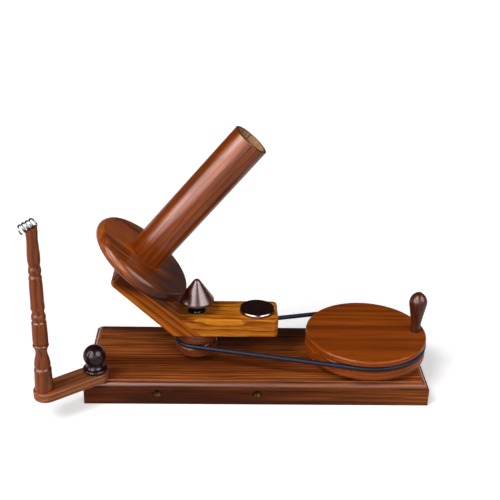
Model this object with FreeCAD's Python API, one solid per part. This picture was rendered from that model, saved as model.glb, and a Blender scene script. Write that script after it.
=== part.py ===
import FreeCAD, Part

import math
import os

from FreeCAD import Placement, Rotation, Vector

# Yarn ball winder: a wheel turned by hand drives, through a round belt, a flyer
# that carries the spool, and a fixed cone makes the spool roll as it goes round.
# Millimetres. The origin is the middle of the base's underside, +X runs along the
# base from the spool to the wheel, +Y points away from the user and +Z is up.

X_AXIS = Vector(1, 0, 0)
Y_AXIS = Vector(0, 1, 0)
Z_AXIS = Vector(0, 0, 1)

# Base board and its moulded edge
BASE_L = 406.0
BASE_W = 140.0
BASE_T = 29.0
MOULD_STEP = 1.4            # small upright step below the top face
MOULD_R = 5.2               # quarter round under the step
MOULD_LEDGE = 2.4           # narrow flat outside the quarter round
CLAMP_XS = (-117.0, 0.0)    # clamp rod holes in the front face
CLAMP_Z = 15.0
CLAMP_DEPTH = 30.0

# Eight millimetre hardware
BOLT_R = 4.0
BOLT_HEAD_AF = 13.0
BOLT_HEAD_T = 5.3
HEAD_WASHER_R = 8.0
HEAD_WASHER_T = 1.6
NUT_T = 6.5
JAM_NUT_T = 5.0
LOCK_NUT_T = 8.0
RING_WASHER_R = 5.9         # small enough to bear on a bearing's inner ring only
RING_WASHER_T = 1.2
HEAD_WELL_R = 10.0
HEAD_WELL_DEPTH = 9.0
INSERT_R = 5.75
INSERT_L = 16.0
INSERT_BORE_R = 3.4
INSERT_FLARE = 0.9          # lead-in at the insert's mouth
INSERT_FLARE_L = 1.6
CLAMP_WAY_R = 3.8

# Ball bearings, 8 x 22 x 7
BEARING_R = 11.0
BEARING_T = 7.0
INNER_RING_R = 6.0
RUNNING_GAP = 0.1
SHIELD_R = 9.5
SHIELD_SET_BACK = 0.4

# Where the rotating stacks stand on the base
STACK_Z = BASE_T + NUT_T + RING_WASHER_T    # underside of the lowest bearing
BODY_LIFT = 0.2                             # bearings stand this far out of the wood

# Belt and its two grooves
BELT_R = 2.8
BELT_Z = 51.0
BELT_GAP = 0.3
WHEEL_BELT_R = 71.4
SPEED_RATIO = 3.0
PULLEY_BELT_R = WHEEL_BELT_R / SPEED_RATIO

# Drive wheel and crank handle
WHEEL_X = 134.2
WHEEL_R = 73.5
WHEEL_T = 25.0
WHEEL_Z = STACK_Z + BODY_LIFT
WHEEL_TOP = WHEEL_Z + WHEEL_T
WHEEL_SPACER_T = 3.0
AXLE_RELIEF_R = 8.5         # pocket over the axle's end
AXLE_RELIEF_T = 2.0
CRANK_R = 60.8
HANDLE_L = 51.2
HANDLE_FOOT_R = 5.9
HANDLE_BORE_R = 4.0
PIN_R = 2.5
PIN_HEAD_R = 3.7
PIN_HEAD_T = 3.0
PIN_REACH = 28.6            # top of the captive head above the wheel
PIN_NUT_AF = 8.0
PIN_NUT_T = 4.0
PIN_WELL_R = 6.4
PIN_WELL_DEPTH = 8.0
CRANK_X = WHEEL_X + CRANK_R
HANDLE_WASHER_T = 1.0
HANDLE_Z = WHEEL_TOP + HANDLE_WASHER_T + 0.3

# Flyer: pulley, level arm and inclined arm
FLYER_X = -72.85
PULLEY_R = 25.0
PULLEY_T = 28.4
ARM_Z = WHEEL_Z + PULLEY_T
ARM_T = 23.0
ARM_W = 49.0
ARM_TOP = ARM_Z + ARM_T
ARM_END_X = 24.8
TILT = 40.0                 # spool axis from the vertical, upper face of the incline from level
UNDER_TILT = 43.2           # underside of the incline, which tapers toward its end
INNER_BEND_X = -93.0
OUTER_BEND_X = -100.4
INCLINE_L = 101.0           # along the underside
ARM_END_ROUND = 6.0
ARM_EDGE_ROUND = 1.2
SPINDLE_WAY_R = 6.5
PULLEY_SCREW_PCR = 16.5
SCREW_R = 2.0
SCREW_HEAD_R = 4.0

# Counterweight let into the level arm
WEIGHT_X = 0.0
WEIGHT_R = 21.2
WEIGHT_SUNK = 10.0
WEIGHT_PROUD = 4.0
CAP_R = 20.2
CAP_T = 1.6

# Fixed cone on top of the spindle
CONE_R = 20.8
CONE_HALF_ANGLE = 35.0
CONE_TIP_R = 5.0
CONE_FOOT_T = 3.2           # upright edge below the flank
CONE_FOOT_BEVEL = 0.8
CONE_INSERT_R = 6.0
CONE_INSERT_L = 15.0
CONE_GAP = 0.3

# Spool: heights are along its own axis from the inclined arm's upper face
SPOOL_UP_ARM = 77.0         # axis from the inner bend, along the inclined arm
SPOOL_BOLT_GRIP = 10.0      # wood held between the bolt's washer and its nut
SPOOL_WELL_R = 8.6
BOSS_R = 18.0
BOSS_FOOT = 7.9
DISC_FOOT = 16.4
DISC_T = 14.6
DISC_RIM_R = 8.6            # full round rim, cut off by the two flat faces
TENON_R = 17.0
TENON_L = 10.0
TUBE_R = 22.1
TUBE_WALL = 3.6
TUBE_BORE_R = TUBE_R - TUBE_WALL
TUBE_L = 186.6
TUBE_BEVEL = 0.6
PLUG_H = 9.5                # top of the plug in the tube above the disc
KERF_W = 0.8
KERF_DEPTH = 8.0

# Yarn guide: arm, clamping knob, turned post and wire coil
PIVOT_X = -189.2
PIVOT_Y = -61.2
GUIDE_ANGLE = 216.8         # from +X to the arm, seen from above
GUIDE_REACH = 62.3
GUIDE_HALF_W = 14.9
GUIDE_T = 11.0
GUIDE_EDGE_ROUND = 1.5
GUIDE_WASHER_R = 7.0
GUIDE_WASHER_T = 0.5
GUIDE_Z = BASE_T + GUIDE_WASHER_T
GUIDE_TOP = GUIDE_Z + GUIDE_T
POST_REACH = 64.9
KNOB_WASHER_R = 10.0
KNOB_WASHER_T = 1.2
KNOB_Z = GUIDE_TOP + KNOB_WASHER_T
KNOB_FLANGE_R = 14.2
KNOB_FLANGE_T = 3.6
KNOB_NECK_R = 8.8
KNOB_NECK_Z = 8.6
KNOB_BALL_R = 13.1
KNOB_BALL_Z = 19.0
STUD_DEPTH = 15.0
STUD_IN_KNOB = 16.0
KNOB_INSERT_R = 5.0
KNOB_INSERT_TOP = 26.0      # sunk below the moulded edge
KNOB_INSERT_L = 14.0
STUD_GAP = 0.1
POST_SCREW_R = 2.5
POST_SCREW_HEAD_R = 4.6
POST_SCREW_L = 40.0
COIL_R = 4.6
COIL_WIRE_R = 1.0
COIL_TURNS = 4
COIL_PITCH = 4.7
COIL_SLOPE = 31.5
COIL_BACK = 4.3             # middle of the coil left of the post's axis
COIL_RISE = 199.2           # middle of the coil above the guide arm
COIL_SUNK = 1.2             # how far the coil beds into the post's slanted top


def cylinder(radius, low, high, x=0.0, y=0.0):
    """Upright cylinder between two heights."""
    return Part.makeCylinder(radius, high - low, Vector(x, y, low), Z_AXIS)


def ring(outer, inner, low, high, x=0.0, y=0.0):
    """Upright tube between two heights."""
    return cylinder(outer, low, high, x, y).cut(cylinder(inner, low - 1, high + 1, x, y))


def hexagon(across_flats, low, high, x=0.0, y=0.0):
    """Upright hexagonal prism between two heights."""
    corner = across_flats / math.sqrt(3)
    points = []
    for step in range(7):
        angle = math.radians(60 * step)
        points.append(Vector(x + corner * math.cos(angle), y + corner * math.sin(angle), low))
    return Part.Face(Part.makePolygon(points)).extrude(Vector(0, 0, high - low))


def nut(low, thickness, x=0.0, y=0.0):
    """Hexagon nut for the eight millimetre bolts."""
    body = hexagon(BOLT_HEAD_AF, low, low + thickness, x, y)
    return body.cut(cylinder(BOLT_R, low - 1, low + thickness + 1, x, y))


def hex_bolt(head_low, tip, x=0.0, y=0.0):
    """Hexagon bolt standing on its head, with a bevelled tip."""
    seat = head_low + BOLT_HEAD_T
    bevel = 0.8
    tip_cone = Part.makeCone(BOLT_R, BOLT_R - bevel, bevel, Vector(x, y, tip - bevel), Z_AXIS)
    shank = cylinder(BOLT_R, seat, tip - bevel, x, y)
    return hexagon(BOLT_HEAD_AF, head_low, seat, x, y).fuse([shank, tip_cone]).removeSplitter()


def joined(shapes):
    """Several separate solids kept together as one piece group."""
    return Part.makeCompound(shapes)


def fused(first, others):
    """One clean solid from overlapping ones."""
    return first.fuse(others).removeSplitter()


class Outline:
    """Half section of a turned piece, drawn from the axis and back to it."""

    def __init__(self, radius, height):
        self.start = Vector(radius, 0, height)
        self.last = self.start
        self.edges = []

    def line(self, radius, height):
        """Straight stretch to a point."""
        point = Vector(radius, 0, height)
        self.edges.append(Part.makeLine(self.last, point))
        self.last = point
        return self

    def arc(self, through, end):
        """Round stretch through one point to another."""
        middle = Vector(through[0], 0, through[1])
        point = Vector(end[0], 0, end[1])
        self.edges.append(Part.Arc(self.last, middle, point).toShape())
        self.last = point
        return self

    def curve(self, points):
        """Flowing stretch through a few points."""
        vectors = [self.last] + [Vector(radius, 0, height) for radius, height in points]
        spline = Part.BSplineCurve()
        spline.interpolate(vectors)
        self.edges.append(spline.toShape())
        self.last = vectors[-1]
        return self

    def turned(self, x=0.0, y=0.0):
        """The outline closed and turned a full circle about the upright at x, y."""
        closing = Part.makeLine(self.last, self.start)
        face = Part.Face(Part.Wire(self.edges + [closing]))
        solid = face.revolve(Vector(0, 0, 0), Z_AXIS, 360)
        solid.translate(Vector(x, y, 0))
        return solid


def rounded(shape, radius, wanted):
    """The shape with the edges rounded whose ends and middle pass a test."""
    edges = [edge for edge in shape.Edges if wanted(edge)]
    return shape.makeFillet(radius, edges)


def outer_ring(low, x=0.0, y=0.0):
    """Bearing's outer ring with its shields, all that turns with the housing."""
    inner = INNER_RING_R + RUNNING_GAP
    high = low + BEARING_T
    outline = Outline(inner, low + SHIELD_SET_BACK).line(SHIELD_R, low + SHIELD_SET_BACK)
    outline.line(SHIELD_R, low).line(BEARING_R, low).line(BEARING_R, high).line(SHIELD_R, high)
    outline.line(SHIELD_R, high - SHIELD_SET_BACK).line(inner, high - SHIELD_SET_BACK)
    return outline.turned(x, y)


def inner_ring(low, x=0.0, y=0.0):
    """Bearing's inner ring, held on its bolt."""
    return ring(INNER_RING_R, BOLT_R, low, low + BEARING_T, x, y)


def spool_place():
    """Placement that carries upright spool pieces onto the inclined arm."""
    tilt = math.radians(TILT)
    foot = Vector(INNER_BEND_X - SPOOL_UP_ARM * math.cos(tilt), 0,
                  ARM_TOP + SPOOL_UP_ARM * math.sin(tilt))
    return Placement(foot, Rotation(Y_AXIS, TILT))


def on_spool(shape):
    """An upright piece moved to the spool's axis."""
    moved = shape.copy()
    moved.Placement = spool_place().multiply(moved.Placement)
    return moved


# Heights in the flyer's stack on its spindle
FLYER_UPPER_BEARING = ARM_TOP - BEARING_T
CONE_NUT_Z = ARM_TOP + RING_WASHER_T
CONE_Z = CONE_NUT_Z + NUT_T + JAM_NUT_T
CONE_SHARP_TIP = (CONE_Z + CONE_FOOT_T
                  + CONE_R / math.tan(math.radians(CONE_HALF_ANGLE)))

# Heights in the wheel's stack
WHEEL_UPPER_BEARING = STACK_Z + BEARING_T + WHEEL_SPACER_T

# Heights in the spool's stack, along its own axis
SPOOL_LOWER_BEARING = NUT_T + RING_WASHER_T
DISC_TOP = DISC_FOOT + DISC_T
TUBE_TOP = DISC_TOP + TUBE_L
SPOOL_UPPER_BEARING = DISC_TOP + PLUG_H - BEARING_T
SPOOL_LOCK_NUT = DISC_TOP + PLUG_H + RING_WASHER_T


def disc_radius():
    """Spool disc's radius that brings its round rim up to the cone's flank."""
    place = spool_place()
    centre = place.multVec(Vector(0, 0, DISC_TOP - DISC_T / 2))
    outward = place.Rotation.multVec(X_AXIS)
    flank = math.radians(CONE_HALF_ANGLE)
    normal = Vector(-math.cos(flank), 0, math.sin(flank))
    from_tip = centre - Vector(FLYER_X, 0, CONE_SHARP_TIP)
    reach = (from_tip.dot(normal) - DISC_RIM_R - CONE_GAP) / -outward.dot(normal)
    return reach + DISC_RIM_R


# Base

def moulded_board():
    """Board whose upper edge is a quarter round between a step and a ledge."""
    step_in = MOULD_LEDGE + MOULD_R
    round_top = BASE_T - MOULD_STEP

    def slab(inset, high):
        corner = Vector(inset - BASE_L / 2, inset - BASE_W / 2, 0)
        return Part.makeBox(BASE_L - 2 * inset, BASE_W - 2 * inset, high, corner)

    quarter = rounded(slab(MOULD_LEDGE, round_top), MOULD_R,
                      lambda edge: edge.BoundBox.ZMin > round_top - 0.01)
    lower = slab(0, round_top - MOULD_R)
    return fused(lower, [quarter, slab(step_in, BASE_T)])


def base_board():
    """Board with the bolt wells, the insert holes and the knob's hole."""
    holes = []
    for x in (FLYER_X, WHEEL_X):
        holes.append(cylinder(BOLT_R, -1, BASE_T + 1, x))
        holes.append(cylinder(HEAD_WELL_R, -1, HEAD_WELL_DEPTH, x))
    for x in CLAMP_XS:
        mouth = Vector(x, -BASE_W / 2 - 1, CLAMP_Z)
        holes.append(Part.makeCylinder(INSERT_R, INSERT_L + 1, mouth, Y_AXIS))
        holes.append(Part.makeCylinder(CLAMP_WAY_R, CLAMP_DEPTH + 1, mouth, Y_AXIS))
    insert_low = KNOB_INSERT_TOP - KNOB_INSERT_L
    holes.append(cylinder(KNOB_INSERT_R, insert_low, KNOB_INSERT_TOP, PIVOT_X, PIVOT_Y))
    holes.append(cylinder(BOLT_R + STUD_GAP, KNOB_INSERT_TOP - 1, BASE_T + 1, PIVOT_X, PIVOT_Y))
    return moulded_board().cut(holes)


def clamp_inserts():
    """Threaded inserts for the clamp rods, one in each front hole."""
    solids = []
    for x in CLAMP_XS:
        mouth = Vector(x, -BASE_W / 2, CLAMP_Z)
        body = Part.makeCylinder(INSERT_R, INSERT_L, mouth, Y_AXIS)
        bore = Part.makeCylinder(INSERT_BORE_R, INSERT_L, mouth, Y_AXIS)
        lead_in = Part.makeCone(INSERT_BORE_R + INSERT_FLARE, INSERT_BORE_R, INSERT_FLARE_L,
                                mouth, Y_AXIS)
        solids.append(body.cut([bore, lead_in]))
    return joined(solids)


def standing_bolt(x, tip):
    """Bolt up through the base, its head in the well underneath."""
    return hex_bolt(HEAD_WELL_DEPTH - HEAD_WASHER_T - BOLT_HEAD_T, tip, x)


def flyer_spindle():
    """Long bolt that the flyer turns on and the cone stands on."""
    return standing_bolt(FLYER_X, CONE_Z + CONE_INSERT_L)


def wheel_axle():
    """Bolt that the drive wheel turns on."""
    return standing_bolt(WHEEL_X, WHEEL_UPPER_BEARING + BEARING_T + 0.8)


def bolt_head_washers():
    """Washers between the bolt heads and the wells' floors."""
    low = HEAD_WELL_DEPTH - HEAD_WASHER_T
    return joined([ring(HEAD_WASHER_R, BOLT_R, low, HEAD_WELL_DEPTH, x)
                   for x in (FLYER_X, WHEEL_X)])


def base_nuts():
    """Nuts that clamp the two bolts to the base."""
    return joined([nut(BASE_T, NUT_T, x) for x in (FLYER_X, WHEEL_X)])


def bearing_washers():
    """Small washers on the base nuts, under the lower inner rings."""
    low = BASE_T + NUT_T
    return joined([ring(RING_WASHER_R, BOLT_R, low, STACK_Z, x) for x in (FLYER_X, WHEEL_X)])


def spindle_spacer():
    """Long tube between the flyer's two inner rings."""
    return ring(INNER_RING_R, BOLT_R, STACK_Z + BEARING_T, FLYER_UPPER_BEARING, FLYER_X)


def axle_spacer():
    """Short tube between the wheel's two inner rings."""
    return ring(INNER_RING_R, BOLT_R, STACK_Z + BEARING_T, WHEEL_UPPER_BEARING, WHEEL_X)


def spindle_inner_rings():
    """Inner rings of the flyer's bearings."""
    return joined([inner_ring(low, FLYER_X) for low in (STACK_Z, FLYER_UPPER_BEARING)])


def axle_inner_rings():
    """Inner rings of the wheel's bearings."""
    return joined([inner_ring(low, WHEEL_X) for low in (STACK_Z, WHEEL_UPPER_BEARING)])


def spindle_top_washer():
    """Washer on the flyer's upper inner ring."""
    return ring(RING_WASHER_R, BOLT_R, ARM_TOP, CONE_NUT_Z, FLYER_X)


def spindle_top_nut():
    """Nut that closes the flyer's stack."""
    return nut(CONE_NUT_Z, NUT_T, FLYER_X)


def cone_jam_nut():
    """Thin nut that the cone is locked against."""
    return nut(CONE_NUT_Z + NUT_T, JAM_NUT_T, FLYER_X)


def drive_cone():
    """Turned cone with a rounded tip, bored from below for its insert."""
    flank = math.radians(CONE_HALF_ANGLE)
    ball_z = CONE_SHARP_TIP - CONE_TIP_R / math.sin(flank)
    tangent = (CONE_TIP_R * math.cos(flank), ball_z + CONE_TIP_R * math.sin(flank))
    half_way = math.radians(CONE_HALF_ANGLE + 90) / 2
    crown = (CONE_TIP_R * math.cos(half_way), ball_z + CONE_TIP_R * math.sin(half_way))
    outline = Outline(0, CONE_Z).line(CONE_R - CONE_FOOT_BEVEL, CONE_Z)
    outline.line(CONE_R, CONE_Z + CONE_FOOT_BEVEL).line(CONE_R, CONE_Z + CONE_FOOT_T)
    outline.line(*tangent)
    outline.arc(crown, (0, ball_z + CONE_TIP_R))
    bore = cylinder(CONE_INSERT_R, CONE_Z - 1, CONE_Z + CONE_INSERT_L + 1, FLYER_X)
    return outline.turned(FLYER_X).cut(bore)


def cone_insert():
    """Threaded sleeve in the cone, screwed onto the spindle."""
    return ring(CONE_INSERT_R, BOLT_R, CONE_Z, CONE_Z + CONE_INSERT_L, FLYER_X)


def belt_route():
    """Closed route round both grooves: two arcs joined by their outer tangents."""
    lean = math.asin((WHEEL_BELT_R - PULLEY_BELT_R) / (WHEEL_X - FLYER_X))

    def at(centre_x, radius, angle):
        return Vector(centre_x + radius * math.cos(angle), radius * math.sin(angle), BELT_Z)

    meet = math.pi / 2 + lean
    wheel_low = at(WHEEL_X, WHEEL_BELT_R, -meet)
    wheel_far = at(WHEEL_X, WHEEL_BELT_R, 0)
    wheel_high = at(WHEEL_X, WHEEL_BELT_R, meet)
    pulley_high = at(FLYER_X, PULLEY_BELT_R, meet)
    pulley_far = at(FLYER_X, PULLEY_BELT_R, math.pi)
    pulley_low = at(FLYER_X, PULLEY_BELT_R, -meet)
    return Part.Wire([
        Part.Arc(wheel_low, wheel_far, wheel_high).toShape(),
        Part.makeLine(wheel_high, pulley_high),
        Part.Arc(pulley_high, pulley_far, pulley_low).toShape(),
        Part.makeLine(pulley_low, wheel_low),
    ])


def drive_belt():
    """Round endless belt."""
    route = belt_route()
    start = route.OrderedEdges[0]
    first = start.firstVertex().Point
    along = start.tangentAt(start.FirstParameter)
    section = Part.Wire(Part.makeCircle(BELT_R, first, along))
    return route.makePipeShell([section], True, False)


def knob_insert():
    """Threaded insert in the base for the clamping knob's stud."""
    low = KNOB_INSERT_TOP - KNOB_INSERT_L
    return ring(KNOB_INSERT_R, BOLT_R + STUD_GAP, low, KNOB_INSERT_TOP, PIVOT_X, PIVOT_Y)


def guide_washer():
    """Fibre washer that the guide arm turns on."""
    return ring(GUIDE_WASHER_R, BOLT_R + STUD_GAP, BASE_T, GUIDE_Z, PIVOT_X, PIVOT_Y)


# Flyer

def grooved(radius, low, high, belt_radius, top_round, foot_round, x):
    """Wheel blank with rounded arrises and a U groove for the belt."""
    seat = BELT_R + BELT_GAP
    flare = seat + 1.3
    slant = math.sqrt(0.5)
    outline = Outline(0, low).line(radius - foot_round, low)
    outline.arc((radius - foot_round * (1 - slant), low + foot_round * (1 - slant)),
                (radius, low + foot_round))
    outline.line(radius, BELT_Z - flare).line(belt_radius, BELT_Z - seat)
    outline.arc((belt_radius - seat, BELT_Z), (belt_radius, BELT_Z + seat))
    outline.line(radius, BELT_Z + flare).line(radius, high - top_round)
    outline.arc((radius - top_round * (1 - slant), high - top_round * (1 - slant)),
                (radius - top_round, high))
    outline.line(0, high)
    return outline.turned(x)


def pulley_screw_places():
    """Where the three screws stand round the spindle."""
    places = []
    for step in range(3):
        angle = math.radians(90 + 120 * step)
        places.append((FLYER_X + PULLEY_SCREW_PCR * math.cos(angle),
                       PULLEY_SCREW_PCR * math.sin(angle)))
    return places


PULLEY_SCREW_LOW = WHEEL_Z + 4.0
PULLEY_SCREW_HIGH = PULLEY_SCREW_LOW + 40.0


def flyer_pulley():
    """Small grooved pulley with a bearing seat in its underside."""
    blank = grooved(PULLEY_R, WHEEL_Z, ARM_Z, PULLEY_BELT_R, 0.8, 1.2, FLYER_X)
    holes = [cylinder(BEARING_R, WHEEL_Z - 1, STACK_Z + BEARING_T, FLYER_X),
             cylinder(SPINDLE_WAY_R, WHEEL_Z, ARM_Z + 1, FLYER_X)]
    for x, y in pulley_screw_places():
        holes.append(cylinder(SCREW_R, WHEEL_Z, ARM_Z + 1, x, y))
        holes.append(cylinder(SCREW_HEAD_R + 0.2, WHEEL_Z - 1, PULLEY_SCREW_LOW + 3, x, y))
    return blank.cut(holes)


def pulley_screws():
    """Wood screws up through the pulley into the arm."""
    solids = []
    for x, y in pulley_screw_places():
        shoulder = PULLEY_SCREW_LOW + 3
        head = cylinder(SCREW_HEAD_R, PULLEY_SCREW_LOW, shoulder, x, y)
        shank = cylinder(SCREW_R, shoulder, PULLEY_SCREW_HIGH - 3, x, y)
        point = Part.makeCone(SCREW_R, 0.4, 3, Vector(x, y, PULLEY_SCREW_HIGH - 3), Z_AXIS)
        solids.append(fused(head, [shank, point]))
    return joined(solids)


def slope(degrees):
    """Direction up a slope that rises toward the spool."""
    angle = math.radians(degrees)
    return Vector(-math.cos(angle), 0, math.sin(angle))


def bent_blank():
    """Both arms as one bent bar, with rounded ends and softened arrises."""
    outer_bend = Vector(OUTER_BEND_X, 0, ARM_Z)
    inner_bend = Vector(INNER_BEND_X, 0, ARM_TOP)
    outer_end = outer_bend + slope(UNDER_TILT) * INCLINE_L
    up_arm = slope(TILT)
    inner_end = inner_bend + up_arm * (outer_end - inner_bend).dot(up_arm)
    corners = [Vector(ARM_END_X, 0, ARM_Z), Vector(ARM_END_X, 0, ARM_TOP), inner_bend,
               inner_end, outer_end, outer_bend]
    profile = [corner - Y_AXIS * (ARM_W / 2) for corner in corners]
    bar = Part.Face(Part.makePolygon(profile + profile[:1])).extrude(Y_AXIS * ARM_W)

    def at_an_end(edge):
        middle = edge.BoundBox.Center
        level_end = abs(middle.x - ARM_END_X) < 0.01
        raised_end = abs((middle - outer_end).dot(up_arm)) < 0.01
        lower_arris = middle.isEqual(outer_end, 0.01)
        return lower_arris or edge.BoundBox.YLength < 0.01 and (level_end or raised_end)

    def along_a_side(edge):
        on_side = abs(abs(edge.BoundBox.Center.y) - ARM_W / 2) < 0.01
        return on_side and edge.BoundBox.YLength < 0.01

    return rounded(rounded(bar, ARM_END_ROUND, at_an_end), ARM_EDGE_ROUND, along_a_side)


def incline_block():
    """Oversize block that takes the inclined arm's share of the bent bar."""
    block = Part.makeBox(400, 200, 200, Vector(-200, -100, -200))
    block.Placement = Placement(Vector(INNER_BEND_X, 0, ARM_TOP), Rotation(Y_AXIS, TILT))
    return block


def arm_holes():
    """What is drilled through the glued arms for the spindle and the screws."""
    holes = [cylinder(SPINDLE_WAY_R, ARM_Z - 1, ARM_TOP + 1, FLYER_X),
             cylinder(BEARING_R, FLYER_UPPER_BEARING, ARM_TOP + 1, FLYER_X)]
    for x, y in pulley_screw_places():
        holes.append(cylinder(SCREW_R, ARM_Z - 1, PULLEY_SCREW_HIGH, x, y))
    return holes


def flyer_arm():
    """Level arm, butted against the inclined one and bored for the counterweight."""
    well = cylinder(WEIGHT_R, ARM_TOP - WEIGHT_SUNK, ARM_TOP + 1, WEIGHT_X)
    return bent_blank().cut(incline_block()).cut(arm_holes() + [well])


def inclined_arm():
    """Inclined arm with the spool bolt's hole and head well."""
    bolt_way = on_spool(cylinder(BOLT_R, -SPOOL_BOLT_GRIP - 1, 1))
    well = on_spool(cylinder(SPOOL_WELL_R, -2 * ARM_T, -SPOOL_BOLT_GRIP))
    return bent_blank().common(incline_block()).cut(arm_holes() + [bolt_way, well])


def counterweight():
    """Steel disc that balances the spool, with a shallow seat for its cap."""
    low = ARM_TOP - WEIGHT_SUNK
    high = ARM_TOP + WEIGHT_PROUD
    outline = Outline(0, low).line(WEIGHT_R, low).line(WEIGHT_R, high - 0.8)
    outline.line(CAP_R + 0.3, high).line(CAP_R, high).line(CAP_R, high - CAP_T)
    outline.line(0, high - CAP_T)
    return outline.turned(WEIGHT_X)


def counterweight_cap():
    """Black cover on the counterweight."""
    high = ARM_TOP + WEIGHT_PROUD
    return cylinder(CAP_R, high - CAP_T, high, WEIGHT_X)


def flyer_outer_rings():
    """Outer rings of the flyer's bearings."""
    return joined([outer_ring(low, FLYER_X) for low in (STACK_Z, FLYER_UPPER_BEARING)])


def spool_bolt():
    """Bolt through the inclined arm that the spool turns on."""
    seat = -SPOOL_BOLT_GRIP - HEAD_WASHER_T
    return on_spool(hex_bolt(seat - BOLT_HEAD_T, SPOOL_LOCK_NUT + LOCK_NUT_T + 2))


def spool_head_washer():
    """Washer under the spool bolt's head."""
    floor = -SPOOL_BOLT_GRIP
    return on_spool(ring(HEAD_WASHER_R, BOLT_R, floor - HEAD_WASHER_T, floor))


def spool_nut():
    """Nut that clamps the spool bolt to the inclined arm."""
    return on_spool(nut(0, NUT_T))


def spool_washers():
    """Small washers below and above the spool's inner rings."""
    lows = (NUT_T, SPOOL_UPPER_BEARING + BEARING_T)
    return joined([on_spool(ring(RING_WASHER_R, BOLT_R, low, low + RING_WASHER_T))
                   for low in lows])


def spool_spacer():
    """Tube between the spool's inner rings."""
    low = SPOOL_LOWER_BEARING + BEARING_T
    return on_spool(ring(INNER_RING_R, BOLT_R, low, SPOOL_UPPER_BEARING))


def spool_inner_rings():
    """Inner rings of the spool's bearings."""
    lows = (SPOOL_LOWER_BEARING, SPOOL_UPPER_BEARING)
    return joined([on_spool(inner_ring(low)) for low in lows])


def spool_lock_nut():
    """Self-locking nut on the plug, at the bottom of the tube's hollow."""
    body = nut(SPOOL_LOCK_NUT, LOCK_NUT_T - 2)
    collar_low = SPOOL_LOCK_NUT + LOCK_NUT_T - 2
    collar = ring(BOLT_HEAD_AF / 2 - 0.4, BOLT_R, collar_low, collar_low + 2)
    return on_spool(fused(body, [collar]))


# Spool

def spool_disc():
    """Thick disc with a round rim and a boss for the lower bearing."""
    radius = disc_radius()
    arris = radius - DISC_RIM_R + math.sqrt(DISC_RIM_R ** 2 - (DISC_T / 2) ** 2)
    outline = Outline(0, BOSS_FOOT).line(BOSS_R - 2, BOSS_FOOT)
    outline.line(BOSS_R, BOSS_FOOT + 2).line(BOSS_R, DISC_FOOT)
    outline.line(arris, DISC_FOOT)
    outline.arc((radius, DISC_FOOT + DISC_T / 2), (arris, DISC_TOP))
    outline.line(0, DISC_TOP)
    bearing_seat = cylinder(BEARING_R, BOSS_FOOT - 1, SPOOL_LOWER_BEARING + BEARING_T)
    way = cylinder(SPINDLE_WAY_R, BOSS_FOOT, DISC_TOP)
    mortise = cylinder(TENON_R, DISC_TOP - TENON_L, DISC_TOP + 1)
    return on_spool(outline.turned().cut([bearing_seat, way, mortise]))


def spool_tube():
    """Tube bored right through, with a saw kerf across its mouth."""
    outline = Outline(TUBE_BORE_R, DISC_TOP).line(TUBE_R - TUBE_BEVEL, DISC_TOP)
    outline.line(TUBE_R, DISC_TOP + TUBE_BEVEL).line(TUBE_R, TUBE_TOP - TUBE_BEVEL)
    outline.line(TUBE_R - TUBE_BEVEL, TUBE_TOP).line(TUBE_BORE_R, TUBE_TOP)
    kerf = Part.makeBox(KERF_W, 3 * TUBE_R, KERF_DEPTH + 1,
                        Vector(-KERF_W / 2, -1.5 * TUBE_R, TUBE_TOP - KERF_DEPTH))
    return on_spool(outline.turned().cut(kerf))


def tube_plug():
    """Plug glued into the tube's foot: tenon below, upper bearing's seat above."""
    outline = Outline(0, DISC_TOP - TENON_L).line(TENON_R, DISC_TOP - TENON_L)
    outline.line(TENON_R, DISC_TOP).line(TUBE_BORE_R, DISC_TOP)
    outline.line(TUBE_BORE_R, DISC_TOP + PLUG_H).line(0, DISC_TOP + PLUG_H)
    seat = cylinder(BEARING_R, SPOOL_UPPER_BEARING, SPOOL_UPPER_BEARING + BEARING_T + 1)
    way = cylinder(SPINDLE_WAY_R, DISC_TOP - TENON_L - 1, DISC_TOP + PLUG_H + 1)
    return on_spool(outline.turned().cut([seat, way]))


def spool_outer_rings():
    """Outer rings of the spool's bearings."""
    lows = (SPOOL_LOWER_BEARING, SPOOL_UPPER_BEARING)
    return joined([on_spool(outer_ring(low)) for low in lows])


# Drive wheel and handle

def drive_wheel():
    """Grooved wheel with a blind bearing seat below and the pin's hole near its rim."""
    blank = grooved(WHEEL_R, WHEEL_Z, WHEEL_TOP, WHEEL_BELT_R, 2.5, 1.2, WHEEL_X)
    bearings_top = WHEEL_UPPER_BEARING + BEARING_T
    holes = [cylinder(BEARING_R, WHEEL_Z - 1, bearings_top, WHEEL_X),
             cylinder(AXLE_RELIEF_R, WHEEL_Z, bearings_top + AXLE_RELIEF_T, WHEEL_X),
             cylinder(PIN_R, WHEEL_Z - 1, WHEEL_TOP + 1, CRANK_X),
             cylinder(PIN_WELL_R, WHEEL_Z - 1, WHEEL_Z + PIN_WELL_DEPTH, CRANK_X)]
    return blank.cut(holes)


def wheel_outer_rings():
    """Outer rings of the wheel's bearings."""
    return joined([outer_ring(low, WHEEL_X) for low in (STACK_Z, WHEEL_UPPER_BEARING)])


def handle_pin():
    """Pin fixed in the wheel, with a head held captive inside the handle."""
    head_top = WHEEL_TOP + PIN_REACH
    foot = WHEEL_Z + PIN_WELL_DEPTH - PIN_NUT_T - 1.5
    shank = cylinder(PIN_R, foot, head_top - 1, CRANK_X)
    head = cylinder(PIN_HEAD_R, head_top - PIN_HEAD_T, head_top, CRANK_X)
    return fused(shank, [head])


def handle_pin_nut():
    """Nut on the pin, in the well under the wheel."""
    high = WHEEL_Z + PIN_WELL_DEPTH
    body = hexagon(PIN_NUT_AF, high - PIN_NUT_T, high, CRANK_X)
    return body.cut(cylinder(PIN_R, WHEEL_Z, high + 1, CRANK_X))


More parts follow.
